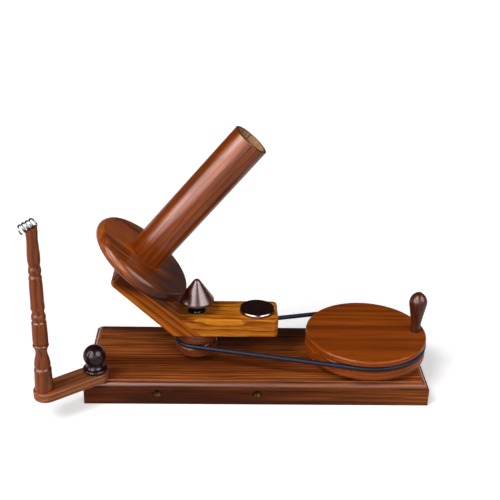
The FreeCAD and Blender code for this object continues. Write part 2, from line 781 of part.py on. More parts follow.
def handle_washer():
    """Washer between the wheel and the handle."""
    return ring(HANDLE_FOOT_R - 0.3, PIN_R, WHEEL_TOP, WHEEL_TOP + HANDLE_WASHER_T, CRANK_X)


def crank_handle():
    """Pear-shaped turned handle, bored from below for its bush."""
    z = HANDLE_Z
    top = z + HANDLE_L
    outline = Outline(0, z).line(HANDLE_FOOT_R - 0.5, z).line(HANDLE_FOOT_R, z + 0.6)
    outline.curve([(6.4, z + 11), (8.3, z + 23), (10.3, z + 34), (10.9, z + 39.5),
                   (10.0, z + 43.6), (7.6, z + 47.6), (4.2, top - 0.5)])
    outline.line(3.4, top).line(0, top)
    bore = cylinder(HANDLE_BORE_R, z - 1, WHEEL_TOP + PIN_REACH + 1.0, CRANK_X)
    return outline.turned(CRANK_X).cut(bore)


def handle_bush():
    """Brass bush that runs on the pin and keeps its head inside the handle."""
    high = WHEEL_TOP + PIN_REACH - PIN_HEAD_T - 0.3
    return ring(HANDLE_BORE_R, PIN_R + RUNNING_GAP, HANDLE_Z, high, CRANK_X)


# Yarn guide

def along_guide(reach):
    """A point on the guide arm's middle line, seen from above."""
    angle = math.radians(GUIDE_ANGLE)
    return (PIVOT_X + reach * math.cos(angle), PIVOT_Y + reach * math.sin(angle))


def guide_arm():
    """Flat arm with round ends, clamped by the knob and carrying the post."""
    far_x, far_y = along_guide(GUIDE_REACH)
    ends = cylinder(GUIDE_HALF_W, GUIDE_Z, GUIDE_TOP, far_x, far_y)
    middle = Part.makeBox(GUIDE_REACH, 2 * GUIDE_HALF_W, GUIDE_T,
                          Vector(0, -GUIDE_HALF_W, 0))
    middle.Placement = Placement(Vector(PIVOT_X, PIVOT_Y, GUIDE_Z),
                                 Rotation(Z_AXIS, GUIDE_ANGLE))
    blank = fused(cylinder(GUIDE_HALF_W, GUIDE_Z, GUIDE_TOP, PIVOT_X, PIVOT_Y), [middle, ends])
    blank = rounded(blank, GUIDE_EDGE_ROUND, lambda edge: edge.BoundBox.ZLength < 0.01)
    post_x, post_y = along_guide(POST_REACH)
    sink = Part.makeCone(POST_SCREW_HEAD_R, POST_SCREW_R, 3.0, Vector(post_x, post_y, GUIDE_Z),
                         Z_AXIS)
    return blank.cut([cylinder(BOLT_R + STUD_GAP, GUIDE_Z - 1, GUIDE_TOP + 1, PIVOT_X, PIVOT_Y),
                      cylinder(POST_SCREW_R, GUIDE_Z, GUIDE_TOP + 1, post_x, post_y), sink])


def coil_axis():
    """Middle of the wire coil and the direction along it."""
    post_x, post_y = along_guide(POST_REACH)
    slope = math.radians(COIL_SLOPE)
    middle = Vector(post_x - COIL_BACK, post_y, GUIDE_TOP + COIL_RISE)
    return middle, Vector(math.cos(slope), 0, math.sin(slope))


def post_outline(z):
    """Half section of the turned post, from its foot at z to above its slanted top."""
    outline = Outline(0, z).line(10.4, z).curve([(10.2, z + 9), (9.6, z + 24.4)])
    outline.arc((9.8, z + 26.6), (9.0, z + 28.6)).line(8.5, z + 29.6)
    outline.arc((9.1, z + 32.6), (8.6, z + 36.6))
    outline.curve([(7.6, z + 42.2), (6.5, z + 48.2), (7.3, z + 53.0), (8.9, z + 56.6)])
    outline.arc((8.95, z + 57.6), (8.4, z + 58.6)).line(7.3, z + 59.4).line(8.6, z + 61.2)
    outline.curve([(8.6, z + 70), (8.15, z + 83.6)])
    outline.arc((8.3, z + 85.4), (7.8, z + 87.0)).line(7.0, z + 88.0)
    outline.arc((8.1, z + 92.4), (7.2, z + 96.4)).line(6.9, z + 97.4)
    outline.arc((7.1, z + 101.4), (7.85, z + 103.2))
    outline.curve([(7.45, z + 113), (7.45, z + 125), (7.0, z + 137.6)])
    outline.arc((7.2, z + 140.2), (6.5, z + 142.4)).line(6.1, z + 143.6)
    outline.arc((7.1, z + 148.4), (6.3, z + 152.4)).line(6.0, z + 153.6)
    outline.curve([(6.6, z + 157), (6.7, z + 172), (6.4, z + 190)])
    return outline.line(6.4, z + 206).line(0, z + 206)


def guide_post():
    """Turned post whose slanted top has a trough for the wire coil."""
    x, y = along_guide(POST_REACH)
    middle, along = coil_axis()
    outer = COIL_R + COIL_WIRE_R
    above = Part.makeBox(80, 80, 40, Vector(-40, -40, COIL_SUNK - outer))
    above.Placement = Placement(middle, Rotation(Y_AXIS, -COIL_SLOPE))
    trough = Part.makeCylinder(outer + 0.05, 80, middle - along * 40, along)
    screw_way = cylinder(POST_SCREW_R, GUIDE_TOP - 1, GUIDE_Z + POST_SCREW_L, x, y)
    return post_outline(GUIDE_TOP).turned(x, y).cut([above, trough, screw_way])


def post_screw():
    """Countersunk screw up through the guide arm into the post."""
    x, y = along_guide(POST_REACH)
    head = Part.makeCone(POST_SCREW_HEAD_R, POST_SCREW_R, 3.0, Vector(x, y, GUIDE_Z), Z_AXIS)
    tip = GUIDE_Z + POST_SCREW_L
    shank = cylinder(POST_SCREW_R, GUIDE_Z + 3, tip - 4, x, y)
    point = Part.makeCone(POST_SCREW_R, 0.4, 4, Vector(x, y, tip - 4), Z_AXIS)
    return fused(head, [shank, point])


def yarn_coil():
    """Open wire coil that the yarn runs through, bedded in the post's top."""
    middle, along = coil_axis()
    length = COIL_TURNS * COIL_PITCH
    helix = Part.makeHelix(COIL_PITCH, length, COIL_R, 0, True)    # left-handed
    helix.Placement = Placement(middle - along * (length / 2), Rotation(Z_AXIS, along))
    first = helix.Edges[0]
    point = first.valueAt(first.FirstParameter)
    heading = first.tangentAt(first.FirstParameter)
    section = Part.Wire(Part.makeCircle(COIL_WIRE_R, point, heading))
    return Part.Wire(helix.Edges).makePipeShell([section], True, True)


# Clamping knob

def guide_knob():
    """Turned knob: a ball on a coved foot."""
    z = KNOB_Z
    ball = z + KNOB_BALL_Z
    neck_drop = math.sqrt(KNOB_BALL_R ** 2 - KNOB_NECK_R ** 2)
    outline = Outline(0, z).line(KNOB_FLANGE_R - 0.8, z)
    outline.arc((KNOB_FLANGE_R + 0.1, z + KNOB_FLANGE_T / 2),
                (KNOB_FLANGE_R - 0.9, z + KNOB_FLANGE_T))
    outline.arc((KNOB_NECK_R + 1.3, z + 5.4), (KNOB_NECK_R, ball - neck_drop))
    outline.arc((KNOB_BALL_R, ball), (0, ball + KNOB_BALL_R))
    bore = cylinder(BOLT_R, z - 1, z + STUD_IN_KNOB, PIVOT_X, PIVOT_Y)
    return outline.turned(PIVOT_X, PIVOT_Y).cut(bore)


def knob_stud():
    """Threaded stud fixed in the knob and screwed into the base."""
    return cylinder(BOLT_R, BASE_T - STUD_DEPTH, KNOB_Z + STUD_IN_KNOB, PIVOT_X, PIVOT_Y)


def knob_washer():
    """Steel washer that the knob presses on the guide arm."""
    return ring(KNOB_WASHER_R, BOLT_R + STUD_GAP, GUIDE_TOP, KNOB_Z, PIVOT_X, PIVOT_Y)


PIECES = (
    base_board, clamp_inserts, flyer_spindle, wheel_axle, bolt_head_washers, base_nuts,
    bearing_washers, spindle_spacer, axle_spacer, spindle_inner_rings, axle_inner_rings,
    spindle_top_washer, spindle_top_nut, cone_jam_nut, drive_cone, cone_insert, drive_belt,
    knob_insert, guide_washer,
    flyer_pulley, pulley_screws, flyer_arm, inclined_arm, counterweight, counterweight_cap,
    flyer_outer_rings, spool_bolt, spool_head_washer, spool_nut, spool_washers, spool_spacer,
    spool_inner_rings, spool_lock_nut,
    spool_disc, spool_tube, tube_plug, spool_outer_rings,
    drive_wheel, wheel_outer_rings, handle_pin, handle_pin_nut, handle_washer,
    crank_handle, handle_bush,
    guide_arm, guide_post, post_screw, yarn_coil,
    guide_knob, knob_stud, knob_washer,
)


def main():
    """Write each piece to its own file."""
    os.makedirs("parts", exist_ok=True)
    for make in PIECES:
        make().exportStep("parts/" + make.__name__ + ".step")


main()
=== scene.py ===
"""Yarn ball winder: its looks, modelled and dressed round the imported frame. Metres."""

import logging
import math
from contextlib import contextmanager
from dataclasses import dataclass, field, replace
from enum import Enum
from typing import Any, Callable, Iterator, Sequence

import bmesh
import bpy
from mathutils import Matrix, Vector

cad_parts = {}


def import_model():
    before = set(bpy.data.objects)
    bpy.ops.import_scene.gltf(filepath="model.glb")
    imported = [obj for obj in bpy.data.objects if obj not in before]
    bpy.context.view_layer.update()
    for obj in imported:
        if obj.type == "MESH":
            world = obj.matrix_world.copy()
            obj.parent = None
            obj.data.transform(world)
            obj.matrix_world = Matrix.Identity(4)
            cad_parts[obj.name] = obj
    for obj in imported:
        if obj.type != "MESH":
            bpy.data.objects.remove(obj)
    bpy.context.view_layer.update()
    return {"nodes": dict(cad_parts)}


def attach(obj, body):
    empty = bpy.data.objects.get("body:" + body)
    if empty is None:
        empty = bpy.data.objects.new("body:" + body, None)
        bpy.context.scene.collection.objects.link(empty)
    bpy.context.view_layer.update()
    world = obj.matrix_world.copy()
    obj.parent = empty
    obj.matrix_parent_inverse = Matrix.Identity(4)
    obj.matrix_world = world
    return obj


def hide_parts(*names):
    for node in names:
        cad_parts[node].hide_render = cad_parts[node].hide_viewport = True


logging.basicConfig(level=logging.INFO, format="%(message)s")
log = logging.getLogger("winder")

MM = 0.001
FLYER_X = -72.85                    # spindle's axis
WHEEL_X = 134.2                     # drive wheel's axis
CRANK_X = 195.0                     # handle's axis
PIVOT = (-189.2, -61.2)             # yarn guide's axis
POST = (-241.17, -100.08)           # turned post's axis
TILT = math.radians(40.0)           # spool's axis from the upright
GUIDE_ANGLE = math.radians(216.8)   # guide arm from +X, seen from above
BASE_TOP = 29.0
ARM_TOP = 88.3
SPOOL_FOOT = (-151.985, 0.0, 137.795)
LAY_BACK = Matrix.Rotation(-math.pi / 2, 4, "X")    # carries an upright piece to point at +Y
CLOSE = 0.01                        # how near counts as touching, mm

Triple = tuple[float, float, float]
Pairs = Sequence[tuple[float, float]]
Test = Callable[[Vector, Vector], bool]


# Colours and nodes

def linear(hex_colour: str) -> tuple[float, float, float, float]:
    """Turns an sRGB hex colour into the linear colour that a shader takes.

    Args:
        hex_colour: Six hex digits.

    Returns:
        Red, green, blue and full alpha, linear.
    """
    channels = [int(hex_colour[i:i + 2], 16) / 255 for i in (0, 2, 4)]
    lin = [c / 12.92 if c <= 0.04045 else ((c + 0.055) / 1.055) ** 2.4 for c in channels]
    return (lin[0], lin[1], lin[2], 1.0)


def add_node(tree: bpy.types.NodeTree, kind: str, links: dict[Any, Any] | None = None,
             values: dict[Any, Any] | None = None,
             stops: Pairs = (), **settings: Any) -> bpy.types.Node:
    """Adds one shader node with its settings, values and incoming links.

    Args:
        tree: Node tree that the node goes into.
        kind: Node type without the ShaderNode prefix.
        links: Input name or number to the output socket that feeds it.
        values: Input name or number to a constant.
        stops: Place and grey level of each stop, for a colour ramp.
        settings: Attributes of the node itself.

    Returns:
        The new node.
    """
    node = tree.nodes.new("ShaderNode" + kind)
    for name, value in settings.items():
        setattr(node, name, value)
    for key, value in (values or {}).items():
        node.inputs[key].default_value = value
    for key, socket in (links or {}).items():
        tree.links.new(socket, node.inputs[key])
    if stops:
        elements = node.color_ramp.elements
        elements[0].position, elements[1].position = stops[0][0], stops[-1][0]
        for place, _ in stops[1:-1]:
            elements.new(place)
        for element, (_, grey) in zip(elements, stops):
            element.color = (grey, grey, grey, 1.0)
    return node


def new_material(name: str) -> tuple[bpy.types.Material, bpy.types.NodeTree, bpy.types.Node]:
    """Makes a material that holds one Principled shader.

    Args:
        name: Name of the material.

    Returns:
        The material, its node tree and the shader.
    """
    material = bpy.data.materials.new(name)
    material.use_nodes = True
    tree = material.node_tree
    return material, tree, tree.nodes["Principled BSDF"]


# Finishes

class Grain(Enum):
    """Which way the wood's fibres run in a piece: turn from +X as an Euler, radians."""

    ALONG_BASE = (0.0, 0.0, 0.0)
    UPRIGHT = (0.0, -math.pi / 2, 0.0)
    SPOOL_AXIS = (0.0, -(math.pi / 2 - TILT), 0.0)
    UP_INCLINE = (0.0, math.radians(41.0), 0.0)
    ALONG_GUIDE = (0.0, 0.0, GUIDE_ANGLE)
    ACROSS_DISC = (0.0, TILT, 0.0)


@dataclass(frozen=True)
class Wood:
    """A lacquered wood.

    The rings are cut lengthwise, so they show as flowing bands. Fine fibres run through
    them, and the open pores are short dark streaks.
    """

    name: str
    light: str                      # early wood between the rings
    dark: str                       # late wood at each ring
    streak: str                     # pores and dark fibres
    grain: Grain = Grain.ALONG_BASE
    pith: Triple = (0.0, 35.0, -60.0)   # tree's middle, mm
    ring_mm: float = 5.0            # width of a year's ring
    stretch: float = 12.0           # how much longer than wide a figure is
    wander_mm: float = 5.0          # how far the rings wander from round
    wander_size_mm: float = 22.0
    ring_depth: float = 0.8         # how strongly the rings show
    pore_mm: float = 1.3            # real pores are 0.2 mm wide, drawn coarser so that they show
    pore_depth: float = 0.5
    fibre_depth: float = 0.35
    shade: str = ""                 # colour of the broad darker areas
    shade_depth: float = 0.4
    shade_size_mm: float = 30.0
    shade_and_dark_patches: tuple[tuple[Triple, Triple], ...] = ()  # darker patches, mostly painted shade: middle and reach, mm
    patch_depth: float = 0.97
    roughness: float = 0.45
    coat: float = 0.15              # lacquer
    coat_roughness: float = 0.2
    specular: float = 0.04
    bump: float = 0.10

    def figure(self, tree: bpy.types.NodeTree, coords: bpy.types.NodeSocket,
               place: bpy.types.NodeSocket) -> bpy.types.NodeSocket:
        """Draws the rings, the broad shades and the darker patches, most of them painted shade.

        Args:
            tree: Node tree of the material.
            coords: Place in the wood, mm, shortened along the fibres.
            place: Place in the winder, m.

        Returns:
            Colour of the wood without its fibres and pores.
        """
        drift = add_node(tree, "TexNoise", {0: coords},
                         {"Scale": 1 / self.wander_size_mm, "Detail": 3.0, "Roughness": 0.45})
        centred = add_node(tree, "VectorMath", {0: drift.outputs["Color"]},
                           {1: (0.5, 0.5, 0.5)}, operation="SUBTRACT")
        wander = self.wander_mm * 2
        warped = add_node(tree, "VectorMath", {0: centred.outputs[0], 2: coords},
                          {1: (0.0, wander, wander)}, operation="MULTIPLY_ADD")
        rings = add_node(
            tree, "TexWave", {0: warped.outputs[0]},
            {"Scale": 0.314 / self.ring_mm, "Distortion": 1.2, "Detail": 2.0,
             "Detail Scale": 2.5, "Detail Roughness": 0.6},
            wave_type="RINGS", rings_direction="X", wave_profile="SAW")
        depth = self.ring_depth
        tone = add_node(tree, "ValToRGB", {0: rings.outputs["Fac"]}, stops=(
            (0.0, 0.10 * depth), (0.45, 0.32 * depth), (0.86, depth), (0.97, 0.55 * depth),
            (1.0, 0.12 * depth)))
        body = add_node(tree, "Mix", {0: tone.outputs[0]},
                        {6: linear(self.light), 7: linear(self.dark)}, data_type="RGBA")
        broad = add_node(tree, "TexNoise", {0: coords},
                         {"Scale": 1 / self.shade_size_mm, "Detail": 2.0, "Distortion": 0.6})
        mask = add_node(tree, "ValToRGB", {0: broad.outputs["Fac"]},
                        stops=((0.38, 0.0), (0.66, self.shade_depth)))
        shade = linear(self.shade or self.dark)
        shaded = add_node(tree, "Mix", {0: mask.outputs[0], 6: body.outputs[2]}, {7: shade},
                          data_type="RGBA")
        colour = shaded.outputs[2]
        # Darker patches mixed towards the streak colour: painted shade on the base's back, the
        # inclined arm's raised end and the disc, and a darker front left half on the base.
        for middle, reach in self.shade_and_dark_patches:
            offset = add_node(tree, "Mapping", {0: place}, vector_type="TEXTURE",
                              values={"Location": [c * MM for c in middle],
                                      "Scale": [c * MM for c in reach]})
            far = add_node(tree, "VectorMath", {0: offset.outputs[0]}, operation="LENGTH")
            ragged = add_node(tree, "Math", {0: drift.outputs["Fac"], 2: far.outputs["Value"]},
                              {1: 0.9}, operation="MULTIPLY_ADD")
            mask = add_node(tree, "ValToRGB", {0: ragged.outputs[0]},
                            stops=((0.0, self.patch_depth), (0.75, self.patch_depth), (1.0, 0.0)))
            colour = add_node(tree, "Mix", {0: mask.outputs[0], 6: colour},
                              {7: linear(self.streak)}, data_type="RGBA").outputs[2]
        return colour

    def build(self) -> bpy.types.Material:
        """Makes the material.

        Returns:
            The material.
        """
        material, tree, shader = new_material(self.name)
        place = add_node(tree, "TexCoord").outputs["Object"]
        along = add_node(
            tree, "Mapping", {0: place}, vector_type="TEXTURE",
            values={"Location": [c * MM for c in self.pith], "Rotation": self.grain.value,
                    "Scale": (MM * self.stretch, MM, MM)})
        coords = along.outputs[0]
        figure = self.figure(tree, coords, place)
        thin = add_node(tree, "Mapping", {0: coords}, {"Scale": (0.10, 1.0, 1.0)})
        fibres = add_node(tree, "TexNoise", {0: thin.outputs[0]},
                          {"Scale": 1.1, "Detail": 3.0, "Roughness": 0.6})
        fibre_mask = add_node(tree, "ValToRGB", {0: fibres.outputs["Fac"]},
                              stops=((0.36, 0.0), (0.70, self.fibre_depth)))
        lined = add_node(tree, "Mix", {0: fibre_mask.outputs[0], 6: figure},
                         {7: linear(self.dark)}, data_type="RGBA")
        short = add_node(tree, "Mapping", {0: coords}, {"Scale": (0.32, 1.0, 1.0)})
        pores = add_node(tree, "TexNoise", {0: short.outputs[0]},
                         {"Scale": 1 / self.pore_mm, "Detail": 2.5, "Roughness": 0.55})
        pore_mask = add_node(tree, "ValToRGB", {0: pores.outputs["Fac"]},
                             stops=((0.50, 0.0), (0.68, self.pore_depth)))
        finished = add_node(tree, "Mix", {0: pore_mask.outputs[0], 6: lined.outputs[2]},
                            {7: linear(self.streak)}, data_type="RGBA")
        rough = add_node(tree, "MapRange", {0: pore_mask.outputs[0]},
                         {3: self.roughness, 4: min(self.roughness + 0.3, 1.0)})
        bump = add_node(tree, "Bump", {"Height": pore_mask.outputs[0]},
                        {"Strength": self.bump, "Distance": 0.15 * MM}, invert=True)
        tree.links.new(finished.outputs[2], shader.inputs["Base Color"])
        tree.links.new(rough.outputs[0], shader.inputs["Roughness"])
        tree.links.new(bump.outputs[0], shader.inputs["Normal"])
        shader.inputs["Specular IOR Level"].default_value = self.specular
        shader.inputs["Coat Weight"].default_value = self.coat
        shader.inputs["Coat Roughness"].default_value = self.coat_roughness
        return material


@dataclass(frozen=True)
class Metal:
    """A bare or plated metal with fine tool marks that run one way."""

    name: str
    colour: str
    roughness: float
    mark_mm: float = 0.4            # spacing of the tool marks
    mark_stretch: Triple = (1.0, 1.0, 1.0)
    bump: float = 0.08

    def build(self) -> bpy.types.Material:
        """Makes the material.

        Returns:
            The material.
        """
        material, tree, shader = new_material(self.name)
        place = add_node(tree, "TexCoord")
        scaled = add_node(tree, "Mapping", {0: place.outputs["Object"]}, vector_type="TEXTURE",
                          values={"Scale": [MM * self.mark_mm * s for s in self.mark_stretch]})
        marks = add_node(tree, "TexNoise", {0: scaled.outputs[0]}, {"Scale": 1.0, "Detail": 3.0})
        rough = add_node(tree, "MapRange", {0: marks.outputs["Fac"]},
                         {1: 0.3, 2: 0.7, 3: max(self.roughness - 0.05, 0.02),
                          4: self.roughness + 0.08})
        bump = add_node(tree, "Bump", {"Height": marks.outputs["Fac"]},
                        {"Strength": self.bump, "Distance": 0.02 * MM})
        tree.links.new(rough.outputs[0], shader.inputs["Roughness"])
        tree.links.new(bump.outputs[0], shader.inputs["Normal"])
        shader.inputs["Base Color"].default_value = linear(self.colour)
        shader.inputs["Metallic"].default_value = 1.0
        return material


@dataclass(frozen=True)
class Coating:
    """Rubber, lacquer or fibre: one colour with fine mottling."""

    name: str
    colour: str
    mottle: str
    roughness: float
    grit_mm: float = 0.8
    specular: float = 0.5
    bump: float = 0.05

    def build(self) -> bpy.types.Material:
        """Makes the material.

        Returns:
            The material.
        """
        material, tree, shader = new_material(self.name)
        place = add_node(tree, "TexCoord")
        scaled = add_node(tree, "Mapping", {0: place.outputs["Object"]}, vector_type="TEXTURE",
                          values={"Scale": [MM * self.grit_mm] * 3})
        grit = add_node(tree, "TexNoise", {0: scaled.outputs[0]}, {"Scale": 1.0, "Detail": 4.0})
        mixed = add_node(tree, "Mix", {0: grit.outputs["Fac"]},
                         {6: linear(self.colour), 7: linear(self.mottle)}, data_type="RGBA")
        rough = add_node(tree, "MapRange", {0: grit.outputs["Fac"]},
                         {1: 0.3, 2: 0.7, 3: max(self.roughness - 0.06, 0.02),
                          4: self.roughness + 0.06})
        bump = add_node(tree, "Bump", {"Height": grit.outputs["Fac"]},
                        {"Strength": self.bump, "Distance": 0.05 * MM})
        tree.links.new(mixed.outputs[2], shader.inputs["Base Color"])
        tree.links.new(rough.outputs[0], shader.inputs["Roughness"])
        tree.links.new(bump.outputs[0], shader.inputs["Normal"])
        shader.inputs["Specular IOR Level"].default_value = self.specular
        return material


# Rosewood board, planed, moulded and lacquered: dark streaks run its whole length under a soft
# sheen. It is darker in the front's left half, and a darker patch along the back is painted shade
# where the arm and the wheel shade the top.
BASE_WOOD = Wood("rosewood_planed_satin_lacquer", "e07e3a", "5a2006", "1a0701",
                 pith=(0, 60, -90), ring_mm=3.6, stretch=14, wander_mm=5.0, pore_depth=0.85,
                 pore_mm=1.7, ring_depth=0.7, fibre_depth=0.8, shade="341002", shade_depth=0.8,
                 shade_size_mm=30, coat=0.08,
                 # First patch: darker front left half. Second patch: painted shade along the
                 # back.
                 shade_and_dark_patches=(((-60, -84, 0), (480, 64, 72)), ((20, 66, 29), (680, 84, 90))))
# The same board's moulding, buffed where the cutter left it: a long pale highlight.
MOULDING = replace(BASE_WOOD, name="rosewood_moulding_buffed", coat=0.9, coat_roughness=0.3)
# Sheesham, turned flat and satin lacquered: even orange brown with fine straight lines.
WHEEL_WOOD = Wood("sheesham_turned_satin_lacquer", "ac5210", "682a06", "401602",
                  pith=(0, -50, -160), ring_mm=5.0, stretch=22, wander_mm=4.0,
                  ring_depth=0.8, pore_depth=0.5, pore_mm=1.1, shade_depth=0.45, coat=0.2)
# Teak, planed and lacquered: honey with a dark wavy flame figure.
ARM_WOOD = Wood("teak_planed_satin_lacquer", "f09a2c", "8c3a04", "4a1a02",
                pith=(0, 30, 30), ring_mm=6.5, stretch=5.5, wander_mm=11.0,
                wander_size_mm=16, ring_depth=1.0, pore_depth=0.4, shade="944808",
                shade_depth=0.5, coat=0.08)
# The same teak: honey at the bend, and painted shade darkens it to red brown at the raised end,
# under the disc.
INCLINE_WOOD = Wood("teak_planed_shaded_under_disc", "dc7820", "6c2604", "341002", Grain.UP_INCLINE,
                    pith=(0, 20, -60), ring_mm=5.0, stretch=14, wander_mm=5.0,
                    ring_depth=0.9, pore_depth=0.45, shade="7a3610",
                    # The patch is painted shade under the disc.
                    coat=0.05, shade_and_dark_patches=(((-150, -12, 150), (63, 74, 59)),))
# Rosewood, turned and waxed: a dark red brown that shines at its edges.
PULLEY_WOOD = Wood("rosewood_turned_waxed", "84401c", "4a2010", "2a1006",
                   ring_mm=4.0, shade_depth=0.3, coat=0.3)
# Rosewood, turned, sanded fine and lacquered to a gloss: long soft highlights.
TUBE_WOOD = Wood("rosewood_turned_gloss_lacquer", "a85016", "5c2202", "341002",
                 Grain.SPOOL_AXIS, pith=(0, -9, 0), ring_mm=8.0, stretch=6, wander_mm=9.0,
                 wander_size_mm=20, ring_depth=0.7, pore_depth=0.5, shade_depth=0.7,
                 shade_size_mm=18, coat=0.5, coat_roughness=0.2, bump=0.03)
# The tube's sawn end: pores seen end on, which drink the lacquer and turn dark. The kerf's sides
# get the same dark colour as painted shade in the narrow slot.
END_GRAIN_AND_KERF_SHADE = Wood("rosewood_end_grain_and_kerf_shade", "4a2410", "2a1006", "140702", Grain.SPOOL_AXIS,
                 ring_mm=2.0, stretch=1.0, pore_mm=0.9, pore_depth=0.7, roughness=0.6,
                 coat=0.1)
# The tube's bore and its plug, left bare off the drill: dry and pale.
BORE_WOOD = Wood("rosewood_bored_bare", "cc9c74", "a4744e", "7c4e30", Grain.SPOOL_AXIS,
                 ring_mm=4.0, stretch=9, roughness=0.8, coat=0.0, specular=0.1)
# The disc's rosewood, sanded and lacquered glossy: broad bands. Its middle and right are darker
# with painted shade, where the tube's shadow falls.
DISC_WOOD = Wood("rosewood_disc_gloss_lacquer", "cc6824", "5e2206", "2a0c02",
                 Grain.ACROSS_DISC, pith=(0, 10, -40), ring_mm=8.0, stretch=5,
                 wander_mm=12.0, wander_size_mm=26, ring_depth=0.6, pore_depth=0.4,
                 shade="4a1a06", shade_depth=0.75, shade_size_mm=20, coat=0.32,
                 # The patch is painted shade from the tube.
                 coat_roughness=0.16, bump=0.03, shade_and_dark_patches=(((-90, -25, 122), (125, 150, 105)),))
# Rosewood, sawn to shape, edges rounded and satin lacquered.
GUIDE_WOOD = Wood("rosewood_rounded_satin_lacquer", "c87a50", "6e3618", "3a1808",
                  Grain.ALONG_GUIDE, ring_mm=5.0, stretch=14, shade_depth=0.4, coat=0.2)
# Rosewood, turned between centres and lacquered: the beads catch the light as rings.
POST_WOOD = Wood("rosewood_spindle_gloss_lacquer", "a85000", "582000", "2a0c00",
                 Grain.UPRIGHT, pith=(-250, -95, 0), ring_mm=4.0, stretch=14, wander_mm=3.0,
                 ring_depth=0.9, coat=0.5, coat_roughness=0.18, shade_depth=0.4, bump=0.03)
# Rosewood, turned small and lacquered glossy: dark brown, with one highlight down its side.
HANDLE_WOOD = Wood("rosewood_handle_gloss_lacquer", "663018", "34140a", "1e0a05",
                   Grain.UPRIGHT, pith=(190, 5, 0), ring_mm=3.5, stretch=14, wander_mm=2.0,
                   coat=0.4, bump=0.03)
# Dark rosewood, turned and buffed: a hard shine in two long streaks.
CONE_WOOD = Wood("rosewood_turned_buffed", "502010", "301008", "1e0a05", Grain.UPRIGHT,
                 pith=(-80, 8, 0), ring_mm=3.5, stretch=12, coat=0.9, coat_roughness=0.24,
                 pore_depth=0.3, bump=0.02)
# Ebony, turned and buffed: nearly black with small sharp highlights.
EBONY = Wood("ebony_turned_buffed", "240a10", "14050a", "080204", Grain.UPRIGHT,
             pith=(-185, -55, 0), ring_mm=3.0, stretch=12, coat=0.3, coat_roughness=0.05,
             ring_depth=0.6, bump=0.02)
# Zinc plated steel, bright but slightly milky.
ZINC_STEEL = Metal("steel_zinc_plated", "b9bab8", 0.32)
# Steel painted a dark grey that keeps its machined sheen: painted shade for the washer and nuts
# in the cone's shadow.
SHADE_DARK_STEEL = Metal("steel_painted_shade_dark", "0e0d0e", 0.45)
# Ground bearing steel: fine marks round the ring.
GROUND_STEEL = Metal("steel_ground", "c4c5c6", 0.22, 0.3, (8.0, 8.0, 0.6))
# Ground steel painted dark, round the flyer's bearings and under the handle: painted shade, where
# the cone and the handle shade them.
SHADE_DARK_GROUND_STEEL = Metal("steel_ground_painted_shade", "242222", 0.4, 0.3, (8.0, 8.0, 0.6))
# Turned and polished steel: a mirror with faint lines round the rim.
POLISHED_STEEL = Metal("steel_turned_polished", "74645a", 0.16, 0.5, (12.0, 12.0, 0.5))
# Chromed wire: dark and bright bands side by side.
CHROME = Metal("wire_chrome_plated", "6c6a6c", 0.10)
# Machined brass, dulled dark brown in the open air.
BRASS = Metal("brass_machined_dull", "2c1c0c", 0.5)
# Extruded rubber cord: black with a faint blue sheen.
BELT_RUBBER = Coating("rubber_extruded_cord", "161828", "0c0d18", 0.42, 1.4, specular=0.1,
                      bump=0.08)
# Black lacquer, brushed flat: deep and nearly even.
BLACK_LACQUER = Coating("lacquer_brushed_black", "140604", "190906", 0.34, 6.0, specular=0.12)
# Vulcanised fibre, punched from sheet: dull red brown.
RED_FIBRE = Coating("fibre_punched_red", "5a2015", "3c140d", 0.7, 0.5, bump=0.2)


Finish = Wood | Metal | Coating


class Paints:
    """Builds each finish once and hands out its material."""

    def __init__(self) -> None:
        """Starts with no material made."""
        self.made: dict[str, bpy.types.Material] = {}

    def of(self, finish: Finish) -> bpy.types.Material:
        """Material of a finish.

        Args:
            finish: The finish.

        Returns:
            Its material, made at the first call.
        """
        if finish.name not in self.made:
            self.made[finish.name] = finish.build()
        return self.made[finish.name]


# Modelling

class Kind(Enum):
    """What is selected in a mesh."""

    FACES = "FACE"
    EDGES = "EDGE"


